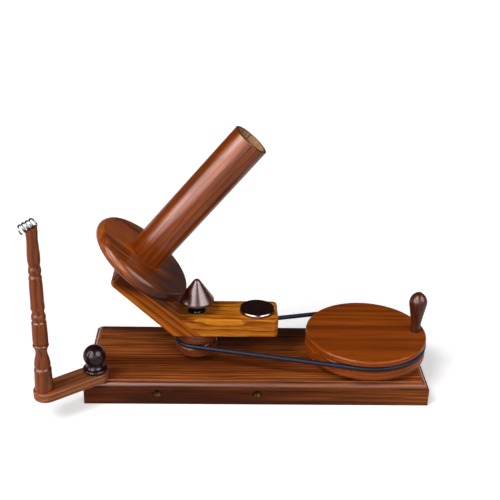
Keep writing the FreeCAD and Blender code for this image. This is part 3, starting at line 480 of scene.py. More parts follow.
class Piece:
    """A new mesh, modelled with Blender's own tools. Sizes are in millimetres."""

    def __init__(self, name: str) -> None:
        """Takes over the primitive that was added last.

        Args:
            name: Name of the piece.
        """
        self.object: bpy.types.Object = bpy.context.object
        self.object.name = self.object.data.name = name

    @classmethod
    def drum(cls, name: str, radius: float, low: float, high: float, sides: int = 48,
             top_radius: float | None = None) -> "Piece":
        """Starts a piece as an upright drum, prism or cone on the axis.

        Args:
            name: Name of the piece.
            radius: Radius at the foot.
            low: Height of its foot.
            high: Height of its top.
            sides: Number of flat sides.
            top_radius: Radius at the top where it differs.

        Returns:
            The piece.
        """
        bpy.ops.object.select_all(action="DESELECT")
        top = radius if top_radius is None else top_radius
        bpy.ops.mesh.primitive_cone_add(
            vertices=sides, radius1=radius * MM, radius2=top * MM, depth=(high - low) * MM,
            location=(0, 0, (low + high) / 2 * MM))
        return cls(name).fix()

    @classmethod
    def block(cls, name: str, low: Sequence[float], high: Sequence[float]) -> "Piece":
        """Starts a piece as a block between two corners.

        Args:
            name: Name of the piece.
            low: Lowest corner.
            high: Highest corner.

        Returns:
            The piece.
        """
        bpy.ops.object.select_all(action="DESELECT")
        middle = [(a + b) / 2 * MM for a, b in zip(low, high)]
        bpy.ops.mesh.primitive_cube_add(size=1.0, location=middle)
        bpy.context.object.scale = [(b - a) * MM for a, b in zip(low, high)]
        return cls(name).fix()

    @classmethod
    def turned(cls, name: str, outline: Pairs,
               sides: int = 64) -> "Piece":
        """Starts a piece as a closed outline spun round the axis, as on a lathe.

        Args:
            name: Name of the piece.
            outline: Radius and height of each corner.
            sides: Steps round the axis.

        Returns:
            The piece.
        """
        piece = cls.loop(name, outline)
        with piece.edit():
            bpy.ops.mesh.select_all(action="SELECT")
            bpy.ops.mesh.spin(steps=sides, angle=math.tau, center=(0, 0, 0), axis=(0, 0, 1))
        return piece.close()

    @classmethod
    def loop(cls, name: str, outline: Pairs) -> "Piece":
        """Starts a piece as a closed loop of edges beside the axis.

        Args:
            name: Name of the piece.
            outline: Radius and height of each corner.

        Returns:
            The piece.
        """
        bpy.ops.object.select_all(action="DESELECT")
        bpy.ops.mesh.primitive_circle_add(vertices=len(outline), radius=MM)
        piece = cls(name)
        for point, (radius, height) in zip(piece.object.data.vertices, outline):
            point.co = (radius * MM, 0, height * MM)
        return piece

    @classmethod
    def thread(cls, name: str, root: float, crest: float, pitch: float, low: float,
               high: float, sides: int = 40) -> "Piece":
        """Starts a piece as a screw thread, cut flat at both ends.

        Args:
            name: Name of the piece.
            root: Radius between the ridges.
            crest: Radius on the ridges.
            pitch: Height of one turn.
            low: Height of the lower end.
            high: Height of the upper end.
            sides: Steps in one turn.

        Returns:
            The piece.
        """
        start = low - 2.37 * pitch
        ridge = [(root, start), (crest, start + 0.42 * pitch), (crest, start + 0.55 * pitch),
                 (root, start + 0.95 * pitch), (root, start + pitch)]
        piece = cls.loop(name, ridge)
        with piece.edit():
            closing, near = (start + pitch / 2, root), 0.01 * pitch
            piece.pick(Kind.EDGES, lambda at, way: abs(at.z - closing[0]) < near
                       and abs(at.x - closing[1]) < near)
            bpy.ops.mesh.delete(type="EDGE")
        turns = math.ceil((high - low) / pitch) + 4
        piece.modify("SCREW", axis="Z", angle=math.tau, screw_offset=pitch * MM,
                     iterations=turns, steps=sides, render_steps=sides,
                     use_merge_vertices=True, merge_threshold=1e-7)
        piece.close()
        with piece.edit():
            for height, keep in ((low, 1), (high, -1)):
                bpy.ops.mesh.select_all(action="SELECT")
                bpy.ops.mesh.bisect(plane_co=(0, 0, height * MM), plane_no=(0, 0, keep),
                                    use_fill=True, clear_inner=True, threshold=1e-7)
        return piece.close()

    @contextmanager
    def edit(self) -> Iterator[None]:
        """Opens the mesh in edit mode for as long as the block lasts.

        Returns:
            Nothing that is used, once the mesh is open.
        """
        self.take()
        bpy.ops.object.mode_set(mode="EDIT")
        yield
        bpy.ops.object.mode_set(mode="OBJECT")

    def take(self) -> "Piece":
        """Selects this piece alone and makes it the active one.

        Returns:
            The piece.
        """
        bpy.ops.object.select_all(action="DESELECT")
        self.object.select_set(True)
        bpy.context.view_layer.objects.active = self.object
        return self

    def fix(self) -> "Piece":
        """Puts place, turn and size into the mesh.

        Returns:
            The piece.
        """
        self.take()
        bpy.ops.object.transform_apply(location=True, rotation=True, scale=True)
        return self

    def close(self) -> "Piece":
        """Merges doubled points, drops loose ones and turns all faces outward.

        Returns:
            The piece.
        """
        with self.edit():
            bpy.ops.mesh.select_all(action="SELECT")
            bpy.ops.mesh.remove_doubles(threshold=1e-6)
            bpy.ops.mesh.delete_loose(use_faces=False)
            bpy.ops.mesh.select_all(action="SELECT")
            bpy.ops.mesh.normals_make_consistent(inside=False)
        return self

    def pick(self, kind: Kind, test: Test) -> None:
        """Selects the faces or edges that pass a test, in edit mode.

        Args:
            kind: What is selected.
            test: Takes the middle in millimetres, and the normal or an edge's direction.
        """
        bpy.ops.mesh.select_mode(type=kind.value)
        bpy.ops.mesh.select_all(action="DESELECT")
        mesh = bmesh.from_edit_mesh(self.object.data)
        if kind is Kind.FACES:
            found = [(f, f.calc_center_median(), f.normal) for f in mesh.faces]
        else:
            found = [(e, (e.verts[0].co + e.verts[1].co) / 2,
                      (e.verts[1].co - e.verts[0].co).normalized()) for e in mesh.edges]
        for item, middle, way in found:
            item.select_set(test(middle / MM, way))
        mesh.select_flush_mode()
        bmesh.update_edit_mesh(self.object.data)

    def soften(self, width: float, test: Test) -> "Piece":
        """Rounds the edges that pass a test.

        Args:
            width: How far the rounding reaches on each side.
            test: Takes an edge's middle and direction.

        Returns:
            The piece.
        """
        with self.edit():
            self.pick(Kind.EDGES, test)
            bpy.ops.mesh.bevel(offset=width * MM, segments=2, affect="EDGES")
        return self

    def modify(self, kind: str, **settings: Any) -> "Piece":
        """Adds a modifier and applies it.

        Args:
            kind: Type of modifier.
            settings: Its attributes.

        Returns:
            The piece.
        """
        self.take()
        bpy.ops.object.modifier_add(type=kind)
        modifier = self.object.modifiers[-1]
        for name, value in settings.items():
            setattr(modifier, name, value)
        bpy.ops.object.modifier_apply(modifier=modifier.name)
        return self

    def combine(self, other: "Piece", operation: str) -> "Piece":
        """Cuts, joins or trims with another piece, which is used up.

        Args:
            other: The other piece.
            operation: DIFFERENCE, UNION or INTERSECT.

        Returns:
            The piece.
        """
        self.modify("BOOLEAN", object=other.object, operation=operation, solver="EXACT")
        bpy.data.objects.remove(other.object)
        return self.close()

    def move(self, matrix: Matrix) -> "Piece":
        """Moves the mesh by a matrix in metres."""
        self.object.matrix_world = matrix
        return self.fix()

    def shift(self, x: float, y: float = 0.0, z: float = 0.0) -> "Piece":
        """Moves the mesh along the axes, in millimetres."""
        return self.move(Matrix.Translation(Vector((x, y, z)) * MM))

    def copy(self, name: str) -> "Piece":
        """A copy with its own mesh."""
        self.take()
        bpy.ops.object.duplicate(linked=False)
        return Piece(name)

    def join(self, others: Sequence["Piece"]) -> "Piece":
        """Takes other pieces into this one as separate shells.

        Args:
            others: The other pieces.

        Returns:
            The piece.
        """
        self.take()
        for other in others:
            other.object.select_set(True)
        bpy.ops.object.join()
        return self


def on_spool_axis() -> Matrix:
    """Matrix that carries an upright piece onto the spool's axis."""
    foot = Matrix.Translation(Vector(SPOOL_FOOT) * MM)
    return foot @ Matrix.Rotation(TILT, 4, "Y")


# Hardware that several sub-assemblies use

@dataclass
class Hardware:
    """Hexagon bolts and nuts, washers and screws, each modelled at its place."""

    bolt_radius: float = 4.0
    thread_root: float = 3.4
    pitch: float = 1.25
    across_flats: float = 13.0
    head_height: float = 5.3
    nut_height: float = 6.5
    head_washer: tuple[float, float] = (8.0, 1.6)   # outer radius and thickness
    ring_washer: tuple[float, float] = (5.9, 1.2)   # bears on a bearing's inner ring only

    def hexagon(self, name: str, across: float, low: float, high: float,
                seat_below: bool = False) -> Piece:
        """Hexagon prism whose corners are turned off at 30 degrees.

        Args:
            name: Name of the piece.
            across: Distance across the flats.
            low: Height of its foot.
            high: Height of its top.
            seat_below: Keeps the foot's corners sharp, as under a bolt's head.

        Returns:
            The piece.
        """
        prism = Piece.drum(name, across / math.sqrt(3), low, high, sides=6)
        prism.move(Matrix.Rotation(math.pi / 6, 4, "Z"))
        corner = across / math.sqrt(3) + 0.05
        face = across * 0.475
        drop = (corner - face) * math.tan(math.radians(30))
        outside = face - (corner - face) / drop         # the bevel carried on for 1 mm
        foot = [(corner, low - 1)] if seat_below else [(outside, low - 1), (corner, low + drop)]
        trim = Piece.turned("trim", [(0.0, low - 1), *foot, (corner, high - drop),
                                     (outside, high + 1), (0.0, high + 1)])
        return prism.combine(trim, "INTERSECT")

    def nut(self, name: str, low: float, height: float, across: float | None = None,
            bore: float | None = None) -> Piece:
        """Nut with turned corners and a countersunk bore.

        Args:
            name: Name of the piece.
            low: Height of its foot.
            height: Its thickness.
            across: Distance across the flats where it isn't the eight millimetre size.
            bore: Radius of the bore where it isn't the eight millimetre size.

        Returns:
            The piece.
        """
        radius = bore or self.bolt_radius
        body = self.hexagon(name, across or self.across_flats, low, low + height)
        sink = 0.5
        high = low + height
        drill = Piece.turned("drill", [
            (0.0, low - 1), (radius + sink + 1, low - 1), (radius, low + sink),
            (radius, high - sink), (radius + sink + 1, high + 1), (0.0, high + 1)])
        return body.combine(drill, "DIFFERENCE")

    def bolt(self, name: str, head_low: float, tip: float, threaded: float) -> Piece:
        """Hexagon bolt, standing on its head, with a cut thread.

        Args:
            name: Name of the piece.
            head_low: Height of the head's outer face.
            tip: Height of the tip.
            threaded: Length of the thread.

        Returns:
            The piece.
        """
        seat = head_low + self.head_height
        head = self.hexagon(name, self.across_flats, -seat, -head_low, seat_below=True)
        head.move(Matrix.Rotation(math.pi, 4, "X"))
        shank_top = tip - threaded
        core = self.thread_root - 0.3
        shank = Piece.turned("shank", [
            (0.0, seat - 1), (self.bolt_radius, seat - 1), (self.bolt_radius, shank_top - 0.6),
            (core, shank_top), (core, shank_top + 1), (0.0, shank_top + 1)])
        ridges = Piece.thread("ridges", self.thread_root, self.bolt_radius, self.pitch,
                              shank_top - 0.3, tip + 0.5)
        point = Piece.turned("point", [
            (0.0, seat), (self.bolt_radius + 1, seat), (self.bolt_radius + 1, tip - 1.8),
            (self.thread_root - 0.2, tip), (0.0, tip)])
        ridges.combine(point, "INTERSECT")
        return head.combine(shank, "UNION").combine(ridges, "UNION")

    def washer(self, name: str, outer: float, inner: float, low: float,
               height: float) -> Piece:
        """Punched washer: its upper rim is drawn round by the punch.

        Args:
            name: Name of the piece.
            outer: Outer radius.
            inner: Radius of its hole.
            low: Height of its underside.
            height: Its thickness.

        Returns:
            The piece.
        """
        high = low + height
        rim = min(0.35, height * 0.3)
        return Piece.turned(name, [
            (inner, low), (outer - 0.08, low), (outer, low + 0.08), (outer, high - rim),
            (outer - rim * 0.3, high - rim * 0.3), (outer - rim, high),
            (inner + rim * 0.6, high), (inner, high - rim * 0.6)])

    def bolt_washer(self, name: str, size: tuple[float, float], low: float) -> Piece:
        """Washer that fits the eight millimetre bolts, given its outer radius and thickness."""
        return self.washer(name, size[0], self.bolt_radius, low, size[1])

    def screw(self, name: str, outline: Pairs, arm: float) -> Piece:
        """Wood screw pointing up, with a cross recess in its head's underside.

        Args:
            name: Name of the piece.
            outline: Radius and height of each corner, from the head's face up.
            arm: Half the length of the cross.

        Returns:
            The piece.
        """
        screw = Piece.turned(name, outline, sides=40)
        face = outline[0][1]
        for turn in (0.0, math.pi / 2):
            slot = Piece.block("slot", (-arm, -arm * 0.22, face - 1), (arm, arm * 0.22, face + 2))
            with slot.edit():
                slot.pick(Kind.FACES, lambda at, way: way.z > 0.9)
                bpy.ops.transform.resize(value=(0.45, 0.8, 1.0))
            slot.move(Matrix.Rotation(turn, 4, "Z"))
            screw.combine(slot, "DIFFERENCE")
        return screw


# Sub-assemblies

@dataclass
class SubAssembly:
    """Pieces that belong together: dresses their CAD nodes and adds modelled ones."""

    nodes: dict[str, bpy.types.Object]
    paints: Paints
    hardware: Hardware = field(default_factory=Hardware)

    def dress(self, finish: Finish, *names: str) -> None:
        """Gives CAD nodes a finish.

        Args:
            finish: The finish.
            names: Names of the nodes.
        """
        for name in names:
            mesh = self.nodes[name].data
            mesh.materials.clear()
            mesh.materials.append(self.paints.of(finish))
            log.info("%s: the CAD's shape in %s", name, finish.name)

    def add_steel(self, piece: Piece, body: str, replaced: str,
                  finish: Finish | None = None) -> None:
        """Adds a modelled fastener, in zinc plated steel unless a finish is given."""
        self.add(piece, finish or ZINC_STEEL, body, "zinc_steel", replaced)

    def add(self, piece: Piece, finish: Finish, body: str, slot: str, *replaced: str,
            patches: Sequence[tuple[Finish, Callable[[Vector], bool]]] = (),
            place: Matrix = Matrix()) -> None:
        """Finishes a modelled piece and sets it on its body.

        Args:
            piece: The piece, upright on the axis.
            finish: Its finish.
            body: Body that it rides on.
            slot: Name of a material slot; not used.
            replaced: CAD nodes that it stands for.
            patches: Other finishes, each with a test of a face's middle in millimetres.
            place: Matrix that carries the upright piece to its place.
        """
        piece.close().take()
        bpy.ops.object.shade_smooth_by_angle(angle=math.radians(32))
        made = piece.object
        made.data.materials.clear()
        made.data.materials.append(self.paints.of(finish))
        for number, (patch, test) in enumerate(patches, 1):
            made.data.materials.append(self.paints.of(patch))
            for face in made.data.polygons:
                if test(face.center / MM):
                    face.material_index = number
        piece.move(place)
        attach(made, body)
        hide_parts(*replaced)
        faces = sum(len(face.vertices) - 2 for face in made.data.polygons)
        log.info("%s: modelled, %d triangles, in %s", made.name, faces, finish.name)


@dataclass
class BaseBoard(SubAssembly):
    """Moulded board with the clamp inserts and the two standing bolts."""

    length: float = 406.0
    width: float = 140.0
    step: float = 1.4               # upright step under the top face
    quarter: float = 5.2            # quarter round under the step
    ledge: float = 2.4              # flat outside the quarter round
    clamp_xs: tuple[float, float] = (-117.0, 0.0)
    clamp_z: float = 15.0
    insert_radius: float = 5.75
    insert_length: float = 16.0
    well_radius: float = 10.0
    well_depth: float = 9.0

    def board(self) -> Piece:
        """The board, its moulding run round it and its arrises eased.

        Returns:
            The board, drilled.
        """
        half = (self.length / 2, self.width / 2)
        shoulder = BASE_TOP - self.step - self.quarter
        board = Piece.block("moulded_board", (-half[0], -half[1], 0), (*half, shoulder))
        with board.edit():
            board.pick(Kind.FACES, lambda at, way: way.z > 0.9)
            bpy.ops.mesh.inset(thickness=self.ledge * MM)
            bpy.ops.mesh.extrude_region_move(
                TRANSFORM_OT_translate={"value": (0, 0, self.quarter * MM)})
            rim = shoulder + self.quarter
            board.pick(Kind.EDGES, lambda at, way: abs(at.z - rim) < CLOSE)
            bpy.ops.mesh.bevel(offset=self.quarter * MM, segments=10, affect="EDGES")
            board.pick(Kind.FACES, lambda at, way: way.z > 0.99 and at.z > rim - CLOSE)
            bpy.ops.mesh.extrude_region_move(
                TRANSFORM_OT_translate={"value": (0, 0, self.step * MM)})
        board.close()
        board.soften(0.45, lambda at, way: at.z > BASE_TOP - CLOSE)
        board.soften(0.5, lambda at, way: at.z < shoulder + CLOSE and (
            abs(way.z) > 0.99 or (at.z > shoulder - CLOSE and (
                abs(at.x) > half[0] - 1 or abs(at.y) > half[1] - 1))))
        board.soften(0.6, lambda at, way: at.z < CLOSE)
        for drill in self.drills():
            board.combine(drill, "DIFFERENCE")
        return board

    def is_moulding(self, middle: Vector) -> bool:
        """Whether a face is the quarter round or the step above it.

        Args:
            middle: The face's middle, mm.

        Returns:
            True on the moulding.
        """
        inside = self.ledge + self.quarter + 0.5
        at_side = self.width / 2 - abs(middle.y) < inside
        at_end = self.length / 2 - abs(middle.x) < inside
        low = BASE_TOP - self.step - self.quarter
        return low + 0.1 < middle.z < BASE_TOP - CLOSE and (at_side or at_end)

    def drills(self) -> Iterator[Piece]:
        """What is drilled out of the board: bolt ways, wells and insert holes.

        Returns:
            Each drilled shape at its place.
        """
        for x in (FLYER_X, WHEEL_X):
            yield Piece.turned("well", [
                (0, -1), (self.well_radius, -1), (self.well_radius, self.well_depth),
                (4.0, self.well_depth), (4.0, BASE_TOP + 1), (0, BASE_TOP + 1)]).shift(x)
        for x in self.clamp_xs:
            hole = Piece.turned("clamp_hole", [
                (0, -1), (self.insert_radius, -1), (self.insert_radius, self.insert_length),
                (3.8, self.insert_length), (3.8, 30), (0, 30)])
            yield hole.move(LAY_BACK).shift(x, -self.width / 2, self.clamp_z)
        yield Piece.turned("stud_hole", [
            (0, 12), (5, 12), (5, 26), (4.1, 26), (4.1, BASE_TOP + 1),
            (0, BASE_TOP + 1)]).shift(*PIVOT)

    def clamp_insert(self) -> Piece:
        """Threaded insert: bevelled mouth, driver slot and a thread inside.

        Returns:
            The insert, its mouth at the origin and its depth along +Y.
        """
        outer, depth = self.insert_radius, self.insert_length
        insert = Piece.turned("insert", [
            (2.0, 0.15), (outer - 0.35, 0.15), (outer, 0.5), (outer, depth), (2.0, depth)])
        slot = Piece.block("slot", (-outer - 1, -0.6, -1), (outer + 1, 0.6, 1.3))
        insert.combine(slot, "DIFFERENCE")
        lead_in = Piece.drum("lead_in", 5.3, -1, 1.8, top_radius=3.2)
        insert.combine(lead_in, "DIFFERENCE")
        tap = Piece.thread("tap", 3.4, 3.95, 1.25, -1.5, depth + 1.5)
        return insert.combine(tap, "DIFFERENCE").move(LAY_BACK)

    def clamp_inserts(self) -> Piece:
        """Both inserts, the second a copy of the first.

        Returns:
            Both as one piece.
        """
        first = self.clamp_insert()
        second = first.copy("second_insert")
        first.shift(self.clamp_xs[0], -self.width / 2, self.clamp_z)
        second.shift(self.clamp_xs[1], -self.width / 2, self.clamp_z)
        first.join([second])
        first.object.name = first.object.data.name = "threaded_clamp_inserts"
        return first

    def pair(self, piece: Piece) -> Piece:
        """The piece at the spindle and a copy of it at the wheel's axle.

        Args:
            piece: The piece, on the upright axis.

        Returns:
            Both as one piece.
        """
        other = piece.copy("other")
        piece.shift(FLYER_X)
        return piece.join([other.shift(WHEEL_X)])

    def build(self) -> None:
        """Models and dresses the base."""
        tools = self.hardware
        self.add(self.board(), BASE_WOOD, "base", "dark_rosewood", "base_board",
                 patches=((MOULDING, self.is_moulding),))
        self.add(self.clamp_inserts(), BRASS, "base", "brass", "clamp_inserts")
        washer_low = self.well_depth - tools.head_washer[1]
        head_low = washer_low - tools.head_height
        spindle = tools.bolt("threaded_spindle", head_low, 116.0, 30.0).shift(FLYER_X)
        self.add_steel(spindle, "base", "flyer_spindle")
        axle = tools.bolt("threaded_axle", head_low, 54.5, 24.0).shift(WHEEL_X)
        self.add_steel(axle, "base", "wheel_axle")
        under_head = tools.bolt_washer("punched_head_washers", tools.head_washer, washer_low)
        self.add_steel(self.pair(under_head), "base", "bolt_head_washers")
        nuts = tools.nut("chamfered_base_nuts", BASE_TOP, tools.nut_height)
        self.add_steel(self.pair(nuts), "base", "base_nuts")
        seats = tools.bolt_washer("punched_bearing_washers", tools.ring_washer,
                                  BASE_TOP + tools.nut_height)
        self.add_steel(self.pair(seats), "base", "bearing_washers")
        self.dress(GROUND_STEEL, "spindle_inner_rings", "axle_inner_rings")
        self.dress(ZINC_STEEL, "spindle_spacer", "axle_spacer")


@dataclass
class FixedCone(SubAssembly):
    """Cone on the spindle's tip, with the nuts that it is locked against."""

    thin_nut_height: float = 5.0
    thin_nut_turn: float = math.radians(17)

    def build(self) -> None:
        """Models and dresses what stands still on top of the flyer."""
        tools = self.hardware
        washer = tools.bolt_washer("punched_top_washer", tools.ring_washer, ARM_TOP)
        # Washer and nuts under the cone in near black steel: painted shade where the cone shades
        # them.
        self.add_steel(washer.shift(FLYER_X), "base", "spindle_top_washer", SHADE_DARK_STEEL)
        low = ARM_TOP + tools.ring_washer[1]
        nut = tools.nut("chamfered_top_nut", low, tools.nut_height).shift(FLYER_X)
        self.add_steel(nut, "base", "spindle_top_nut", SHADE_DARK_STEEL)
        thin = tools.nut("chamfered_jam_nut", low + tools.nut_height, self.thin_nut_height)
        thin.move(Matrix.Rotation(self.thin_nut_turn, 4, "Z")).shift(FLYER_X)
        self.add_steel(thin, "base", "cone_jam_nut", SHADE_DARK_STEEL)
        self.dress(CONE_WOOD, "drive_cone")
        self.dress(BRASS, "cone_insert")


@dataclass
class Flyer(SubAssembly):
    """Pulley, level arm with its counterweight, inclined arm and the spool's bolt."""

    screw_radius: float = 2.0
    screw_head: float = 4.0
    screw_low: float = 40.9
    screw_high: float = 80.9
    screw_circle: float = 16.5
    bolt_grip: float = 10.0         # wood between the spool bolt's washer and its nut
    seat_lows: tuple[float, float] = (6.5, 40.5)    # bearing washers, along the spool's axis

    def pulley_screws(self) -> Piece:
        """Three wood screws round the spindle, one model and two copies.

        Returns:
            The three as one piece.
        """
        low, high = self.screw_low, self.screw_high
        core = self.screw_radius - 0.45
        outline = [(0, low), (self.screw_head - 0.5, low), (self.screw_head, low + 0.6),
                   (self.screw_head - 0.3, low + 3), (core, low + 3), (core, high - 4),
                   (0.3, high), (0, high)]
        screw = self.hardware.screw("cross_head_pulley_screws", outline, 2.2)
        ridges = Piece.thread("ridges", core - 0.3, self.screw_radius, 1.8, low + 8, high - 4,
                              sides=24)
        screw.combine(ridges, "UNION").shift(self.screw_circle)
        turns = (90, 210, 330)
        others = [screw.copy("screw") for _ in turns[1:]]
        for piece, turn in zip([screw] + others, turns):
            piece.move(Matrix.Rotation(math.radians(turn), 4, "Z")).shift(FLYER_X)
        return screw.join(others)

    def build(self) -> None:
        """Models and dresses what goes round with the flyer."""
        tools = self.hardware
        self.dress(PULLEY_WOOD, "flyer_pulley")
        self.dress(ARM_WOOD, "flyer_arm")
        self.dress(INCLINE_WOOD, "inclined_arm")
        self.dress(POLISHED_STEEL, "counterweight")
        self.dress(BLACK_LACQUER, "counterweight_cap")
        # The flyer's bearing rings painted dark: painted shade under the cone.
        self.dress(SHADE_DARK_GROUND_STEEL, "flyer_outer_rings")
        self.dress(GROUND_STEEL, "spool_inner_rings")
        self.dress(ZINC_STEEL, "spool_spacer")
        self.add_steel(self.pulley_screws(), "flyer", "pulley_screws")
        tilt = on_spool_axis()
        seat = -self.bolt_grip - tools.head_washer[1]
        bolt = tools.bolt("threaded_spool_bolt", seat - tools.head_height, 51.7, 22.0)
        self.add_steel(bolt.move(tilt), "flyer", "spool_bolt")
        under = tools.bolt_washer("punched_spool_washer", tools.head_washer, seat).move(tilt)
        self.add_steel(under, "flyer", "spool_head_washer")
        nut = tools.nut("chamfered_spool_nut", 0.0, tools.nut_height).move(tilt)
        self.add_steel(nut, "flyer", "spool_nut")
        seats = [tools.bolt_washer("punched_seat_washers", tools.ring_washer, low).move(tilt)
                 for low in self.seat_lows]
        self.add_steel(seats[0].join(seats[1:]), "flyer", "spool_washers")
        lock = tools.nut("collared_lock_nut", 41.7, 6.0)
        collar = tools.washer("collar", 6.1, 3.7, 47.5, 2.2)
        self.add_steel(lock.combine(collar, "UNION").move(tilt), "flyer", "spool_lock_nut")


@dataclass
class Spool(SubAssembly):
    """Disc and tube that the ball is wound on."""

    tube_radius: float = 22.1
    bore_radius: float = 18.5
    tube_low: float = 31.0
    tube_high: float = 217.6
    kerf_width: float = 0.8
    kerf_depth: float = 8.0

    def tube(self) -> Piece:
        """Tube turned and bored, its arrises broken, with a saw kerf across its mouth.

        Returns:
            The tube, upright on the axis.
        """
        outer, bore, low, high = self.tube_radius, self.bore_radius, self.tube_low, self.tube_high
        tube = Piece.turned("sawn_spool_tube", [
            (bore, low), (outer - 0.6, low), (outer - 0.15, low + 0.15), (outer, low + 0.6),
            (outer, high - 0.8), (outer - 0.3, high - 0.3), (outer - 0.8, high),
            (bore + 0.3, high), (bore, high - 0.3)], sides=128)
        half = self.kerf_width / 2
        kerf = Piece.block("kerf", (-half, -2 * outer, high - self.kerf_depth),
                           (half, 2 * outer, high + 1))
        return tube.combine(kerf, "DIFFERENCE")

    def is_bore(self, middle: Vector) -> bool:
        """Whether a face is the bare inside."""
        return middle.xy.length < self.bore_radius + 0.02

    def is_cut(self, middle: Vector) -> bool:
        """Whether a face is the end grain at the mouth or a side of the kerf.

        Args:
            middle: The face's middle, mm.

        Returns:
            True on the sawn faces.
        """
        cheek = abs(middle.x) < self.kerf_width / 2 + 0.05
        return not self.is_bore(middle) and (middle.z > self.tube_high - 0.4 or (
            cheek and middle.z > self.tube_high - self.kerf_depth - 0.1))

    def build(self) -> None:
        """Models and dresses the spool."""
        # The kerf's sides take the dark end grain colour as painted shade.
        self.add(self.tube(), TUBE_WOOD, "spool", "red_rosewood", "spool_tube",
                 patches=((BORE_WOOD, self.is_bore), (END_GRAIN_AND_KERF_SHADE, self.is_cut)),
                 place=on_spool_axis())
        self.dress(BORE_WOOD, "tube_plug")
        self.dress(DISC_WOOD, "spool_disc")
        self.dress(GROUND_STEEL, "spool_outer_rings")


@dataclass
class DriveWheel(SubAssembly):
    """Grooved wheel, its bearings, the belt and the turning handle on its pin."""

    nut_across: float = 8.0
    nut_low: float = 40.9
    nut_height: float = 4.0
    pin_radius: float = 2.5
    washer_low: float = 61.9

    def build(self) -> None:
        """Models and dresses the wheel and the handle."""
        tools = self.hardware
        self.dress(WHEEL_WOOD, "drive_wheel")
        self.dress(BELT_RUBBER, "drive_belt")
        self.dress(GROUND_STEEL, "wheel_outer_rings")
        self.dress(HANDLE_WOOD, "crank_handle")
        self.dress(BRASS, "handle_bush")
        self.dress(ZINC_STEEL, "handle_pin")
        nut = tools.nut("chamfered_pin_nut", self.nut_low, self.nut_height, self.nut_across,
                        self.pin_radius)
        self.add_steel(nut.shift(CRANK_X), "wheel", "handle_pin_nut")
        washer = tools.washer("punched_handle_washer", 5.6, self.pin_radius, self.washer_low, 1.0)
        # The washer painted dark: painted shade under the handle.
        self.add_steel(washer.shift(CRANK_X), "wheel", "handle_washer", SHADE_DARK_GROUND_STEEL)


@dataclass
class YarnGuide(SubAssembly):
    """Swinging arm, turned post and the open wire coil on its top."""

    coil_radius: float = 4.6
    wire_radius: float = 1.0
    turns: int = 4
    pitch: float = 4.7
    slope: float = math.radians(31.5)
    coil_at: tuple[float, float, float] = (-245.47, -100.08, 239.7)
    screw_low: float = 29.5
    screw_length: float = 40.0

    def coil(self) -> Piece:
        """Round wire wound open, its two ends filed round.

        Returns:
            The coil at its place on the post.
        """
        bpy.ops.object.select_all(action="DESELECT")
        bpy.ops.mesh.primitive_circle_add(vertices=14, radius=self.wire_radius * MM,
                                          rotation=(math.pi / 2, 0, 0))
        coil = Piece("sprung_wire_coil")
        coil.fix().shift(self.coil_radius, 0, -self.turns * self.pitch / 2)
        coil.modify("SCREW", axis="Z", angle=-math.tau, screw_offset=self.pitch * MM,
                    iterations=self.turns, steps=72, render_steps=72,
                    use_merge_vertices=True, merge_threshold=1e-7)
        with coil.edit():
            bpy.ops.mesh.select_mode(type="EDGE")
            bpy.ops.mesh.select_all(action="DESELECT")
            bpy.ops.mesh.select_non_manifold()
            bpy.ops.mesh.edge_face_add()
        coil.close()
        half, near = self.turns * self.pitch / 2, 2 * CLOSE
        with coil.edit():
            coil.pick(Kind.FACES, lambda at, way: abs(at.y) < near
                      and abs(abs(at.z) - half) < near and abs(at.x - self.coil_radius) < near)
            bpy.ops.mesh.inset(thickness=0.3 * MM, depth=0.2 * MM)
        along = Vector((math.cos(self.slope), 0, math.sin(self.slope)))
        lean = Vector((0, 0, 1)).rotation_difference(along).to_matrix().to_4x4()
        return coil.move(Matrix.Translation(Vector(self.coil_at) * MM) @ lean)

    def post_screw(self) -> Piece:
        """Countersunk wood screw that holds the post.

        Returns:
            The screw at its place.
        """
        low = self.screw_low
        tip = low + self.screw_length
        outline = [(0, low), (4.6, low), (4.6, low + 0.3), (2.1, low + 2.8), (2.1, low + 8),
                   (1.7, low + 8.5), (1.7, tip - 4), (0.3, tip), (0, tip)]
        screw = self.hardware.screw("cross_head_post_screw", outline, 2.6)
        ridges = Piece.thread("ridges", 1.6, 2.5, 2.0, low + 10, tip - 4, sides=24)
        return screw.combine(ridges, "UNION").shift(*POST)

    def build(self) -> None:
        """Models and dresses the guide."""
        self.dress(GUIDE_WOOD, "guide_arm")
        self.dress(POST_WOOD, "guide_post")
        self.add(self.coil(), CHROME, "guide", "chrome", "yarn_coil")
        self.add_steel(self.post_screw(), "guide", "post_screw")


@dataclass
class ClampKnob(SubAssembly):
    """Ball knob on its stud, with the washers that it clamps the guide through."""

    washer_low: float = 40.5

    def build(self) -> None:
        """Models and dresses the knob."""
        washer = self.hardware.washer("punched_knob_washer", 10.0, 4.0, self.washer_low, 1.2)
        self.add_steel(washer.shift(*PIVOT), "knob", "knob_washer")
        self.dress(EBONY, "guide_knob")
        self.dress(ZINC_STEEL, "knob_stud")
        self.dress(BRASS, "knob_insert")
        self.dress(RED_FIBRE, "guide_washer")


# Studio

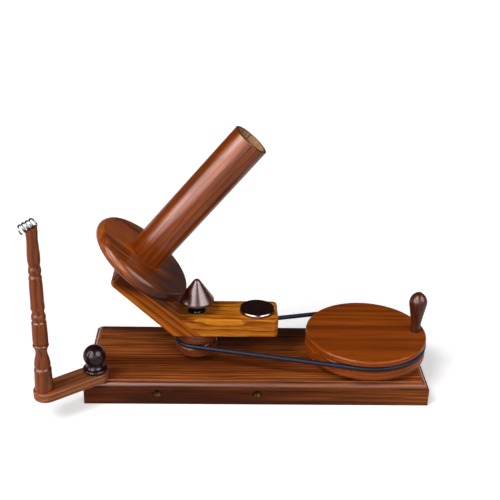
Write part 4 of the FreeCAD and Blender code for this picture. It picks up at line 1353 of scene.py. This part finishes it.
@dataclass
class Studio:
    """Camera, floor, sky and lamps."""

    camera_at: tuple[float, float, float] = (-0.0463, -0.9699, 0.6203)
    focal_px: float = 912.8
    pitch: float = math.radians(24.94)
    yaw: float = math.radians(-2.11)
    roll: float = math.radians(1.57)
    sky: float = 0.04               # even light from all round
    ceiling: float = 0.05           # what gloss shows above the backdrop
    floor_size: float = 12.0
    floor_bounce: float = 0.26      # how much light the floor throws back up
    floor_grey: float = 0.94        # colour that the floor shows
    floor_glow: float = 0.42        # lifts the seen floor to white, but keeps its shadow
    backdrop_top: float = 0.09      # height, in the direction's Z, where the backdrop ends
    sheen: float = 11.0             # how bright gloss shows the two soft boxes
    soft_boxes: tuple[tuple[Vector, float, float], ...] = (
        (Vector((-0.63, -0.59, 0.50)), 23.0, 42.0),     # direction, core and edge in degrees
        (Vector((0.69, -0.45, 0.57)), 12.0, 32.0))

    def camera(self) -> None:
        """Sets the camera where the photographer's stood."""
        forward = Vector((0, math.cos(self.pitch), -math.sin(self.pitch)))
        up = Vector((0, math.sin(self.pitch), math.cos(self.pitch)))
        right = Vector((1, 0, 0))
        turned_right = right * math.cos(self.roll) + up * math.sin(self.roll)
        turned_up = up * math.cos(self.roll) - right * math.sin(self.roll)
        yaw = Matrix.Rotation(self.yaw, 3, "Z")
        axes = Matrix((yaw @ turned_right, yaw @ turned_up, yaw @ -forward)).transposed()
        data = bpy.data.cameras.new("camera")
        data.sensor_width = 36.0
        data.lens = self.focal_px * 36.0 / 500.0
        camera = bpy.data.objects.new("camera", data)
        camera.matrix_world = Matrix.Translation(self.camera_at) @ axes.to_4x4()
        bpy.context.scene.collection.objects.link(camera)
        bpy.context.scene.camera = camera

    def lamp(self, name: str, toward: tuple[float, float, float], strength: float,
             width_degrees: float) -> None:
        """Adds a soft lamp far away.

        Args:
            name: Name of the lamp.
            toward: Direction from the object to the lamp.
            strength: Light it gives on a face turned to it, W per square metre.
            width_degrees: How wide the lamp looks from the object.
        """
        data = bpy.data.lights.new(name, "SUN")
        data.energy = strength
        data.angle = math.radians(width_degrees)
        lamp = bpy.data.objects.new(name, data)
        lamp.rotation_mode = "QUATERNION"
        lamp.rotation_quaternion = Vector(toward).to_track_quat("Z", "Y")
        bpy.context.scene.collection.objects.link(lamp)

    def seen(self, tree: bpy.types.NodeTree) -> bpy.types.NodeSocket:
        """One where a ray from the camera, a gloss or a glass looks, else nought.

        Args:
            tree: Node tree that the nodes go into.

        Returns:
            Socket with the one or nought.
        """
        path = add_node(tree, "LightPath")
        eye = add_node(tree, "Math", {0: path.outputs["Is Camera Ray"],
                                      1: path.outputs["Is Glossy Ray"]}, operation="MAXIMUM")
        return add_node(tree, "Math", {0: eye.outputs[0], 1: path.outputs["Is Transmission Ray"]},
                        operation="MAXIMUM").outputs[0]

    def floor(self) -> None:
        """Lays a plain white floor that keeps the object's shadow."""
        bpy.ops.object.select_all(action="DESELECT")
        bpy.ops.mesh.primitive_plane_add(size=self.floor_size, location=(0, 0, -0.0002))
        floor = bpy.context.object
        floor.name = "studio_floor"
        material, tree, shader = new_material("floor_matt_white")
        shader.inputs["Roughness"].default_value = 1.0
        shader.inputs["Specular IOR Level"].default_value = 0.0
        bounce, shown = ([grey] * 3 + [1.0] for grey in (self.floor_bounce, self.floor_grey))
        seen = self.seen(tree)
        colour = add_node(tree, "Mix", {0: seen}, {6: bounce, 7: shown},
                          data_type="RGBA")
        glow = add_node(tree, "Math", {0: seen}, {1: self.floor_glow}, operation="MULTIPLY")
        shader.inputs["Emission Color"].default_value = (1, 1, 1, 1)
        tree.links.new(colour.outputs[2], shader.inputs["Base Color"])
        tree.links.new(glow.outputs[0], shader.inputs["Emission Strength"])
        floor.data.materials.append(material)

    def world(self) -> None:
        """White backdrop all round, a dim ceiling above it, and an even low light."""
        world = bpy.data.worlds.new("studio")
        bpy.context.scene.world = world
        world.use_nodes = True
        tree = world.node_tree
        place = add_node(tree, "TexCoord")
        height = add_node(tree, "SeparateXYZ", {0: place.outputs["Generated"]})
        backdrop = add_node(tree, "MapRange", {0: height.outputs["Z"]},
                            {1: 0.0, 2: self.backdrop_top, 3: 1.0, 4: self.ceiling},
                            interpolation_type="SMOOTHSTEP")
        shown = backdrop.outputs[0]
        gloss = add_node(tree, "LightPath").outputs["Is Glossy Ray"]
        for toward, core, edge in self.soft_boxes:
            near = add_node(tree, "VectorMath", {0: place.outputs["Generated"]},
                            {1: toward.normalized()}, operation="DOT_PRODUCT")
            box = add_node(tree, "MapRange", {0: near.outputs["Value"]},
                           {1: math.cos(math.radians(edge)), 2: math.cos(math.radians(core)),
                            3: 0.0, 4: self.sheen}, interpolation_type="SMOOTHSTEP")
            shown = add_node(tree, "Math", {0: box.outputs[0], 1: gloss, 2: shown},
                             operation="MULTIPLY_ADD").outputs[0]
        strength = add_node(tree, "Mix", {0: self.seen(tree), 3: shown},
                            {2: self.sky}, data_type="FLOAT")
        background = tree.nodes["Background"]
        background.inputs["Color"].default_value = (1, 1, 1, 1)
        tree.links.new(strength.outputs[0], background.inputs["Strength"])

    def build(self) -> None:
        """Sets up everything round the object."""
        bpy.context.scene.view_settings.view_transform = "Standard"
        self.camera()
        self.world()
        self.floor()
        self.lamp("upper_left_box", (-0.45, -0.40, 0.80), 1.8, 26.0)
        self.lamp("upper_right_box", (0.46, -0.55, 0.70), 0.5, 20.0)
        self.lamp("low_left_box", (-0.85, -0.42, 0.31), 0.6, 22.0)
        self.lamp("front_box", (0.10, -0.97, 0.20), 1.4, 50.0)


def main() -> None:
    """Builds the winder's looks in order."""
    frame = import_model()
    bpy.ops.object.select_all(action="DESELECT")
    Studio().build()
    paints = Paints()
    for sub_assembly in (BaseBoard, FixedCone, Flyer, Spool, DriveWheel, YarnGuide, ClampKnob):
        log.info("-- %s", sub_assembly.__name__)
        sub_assembly(frame["nodes"], paints).build()


if __name__ == "__main__":
    main()
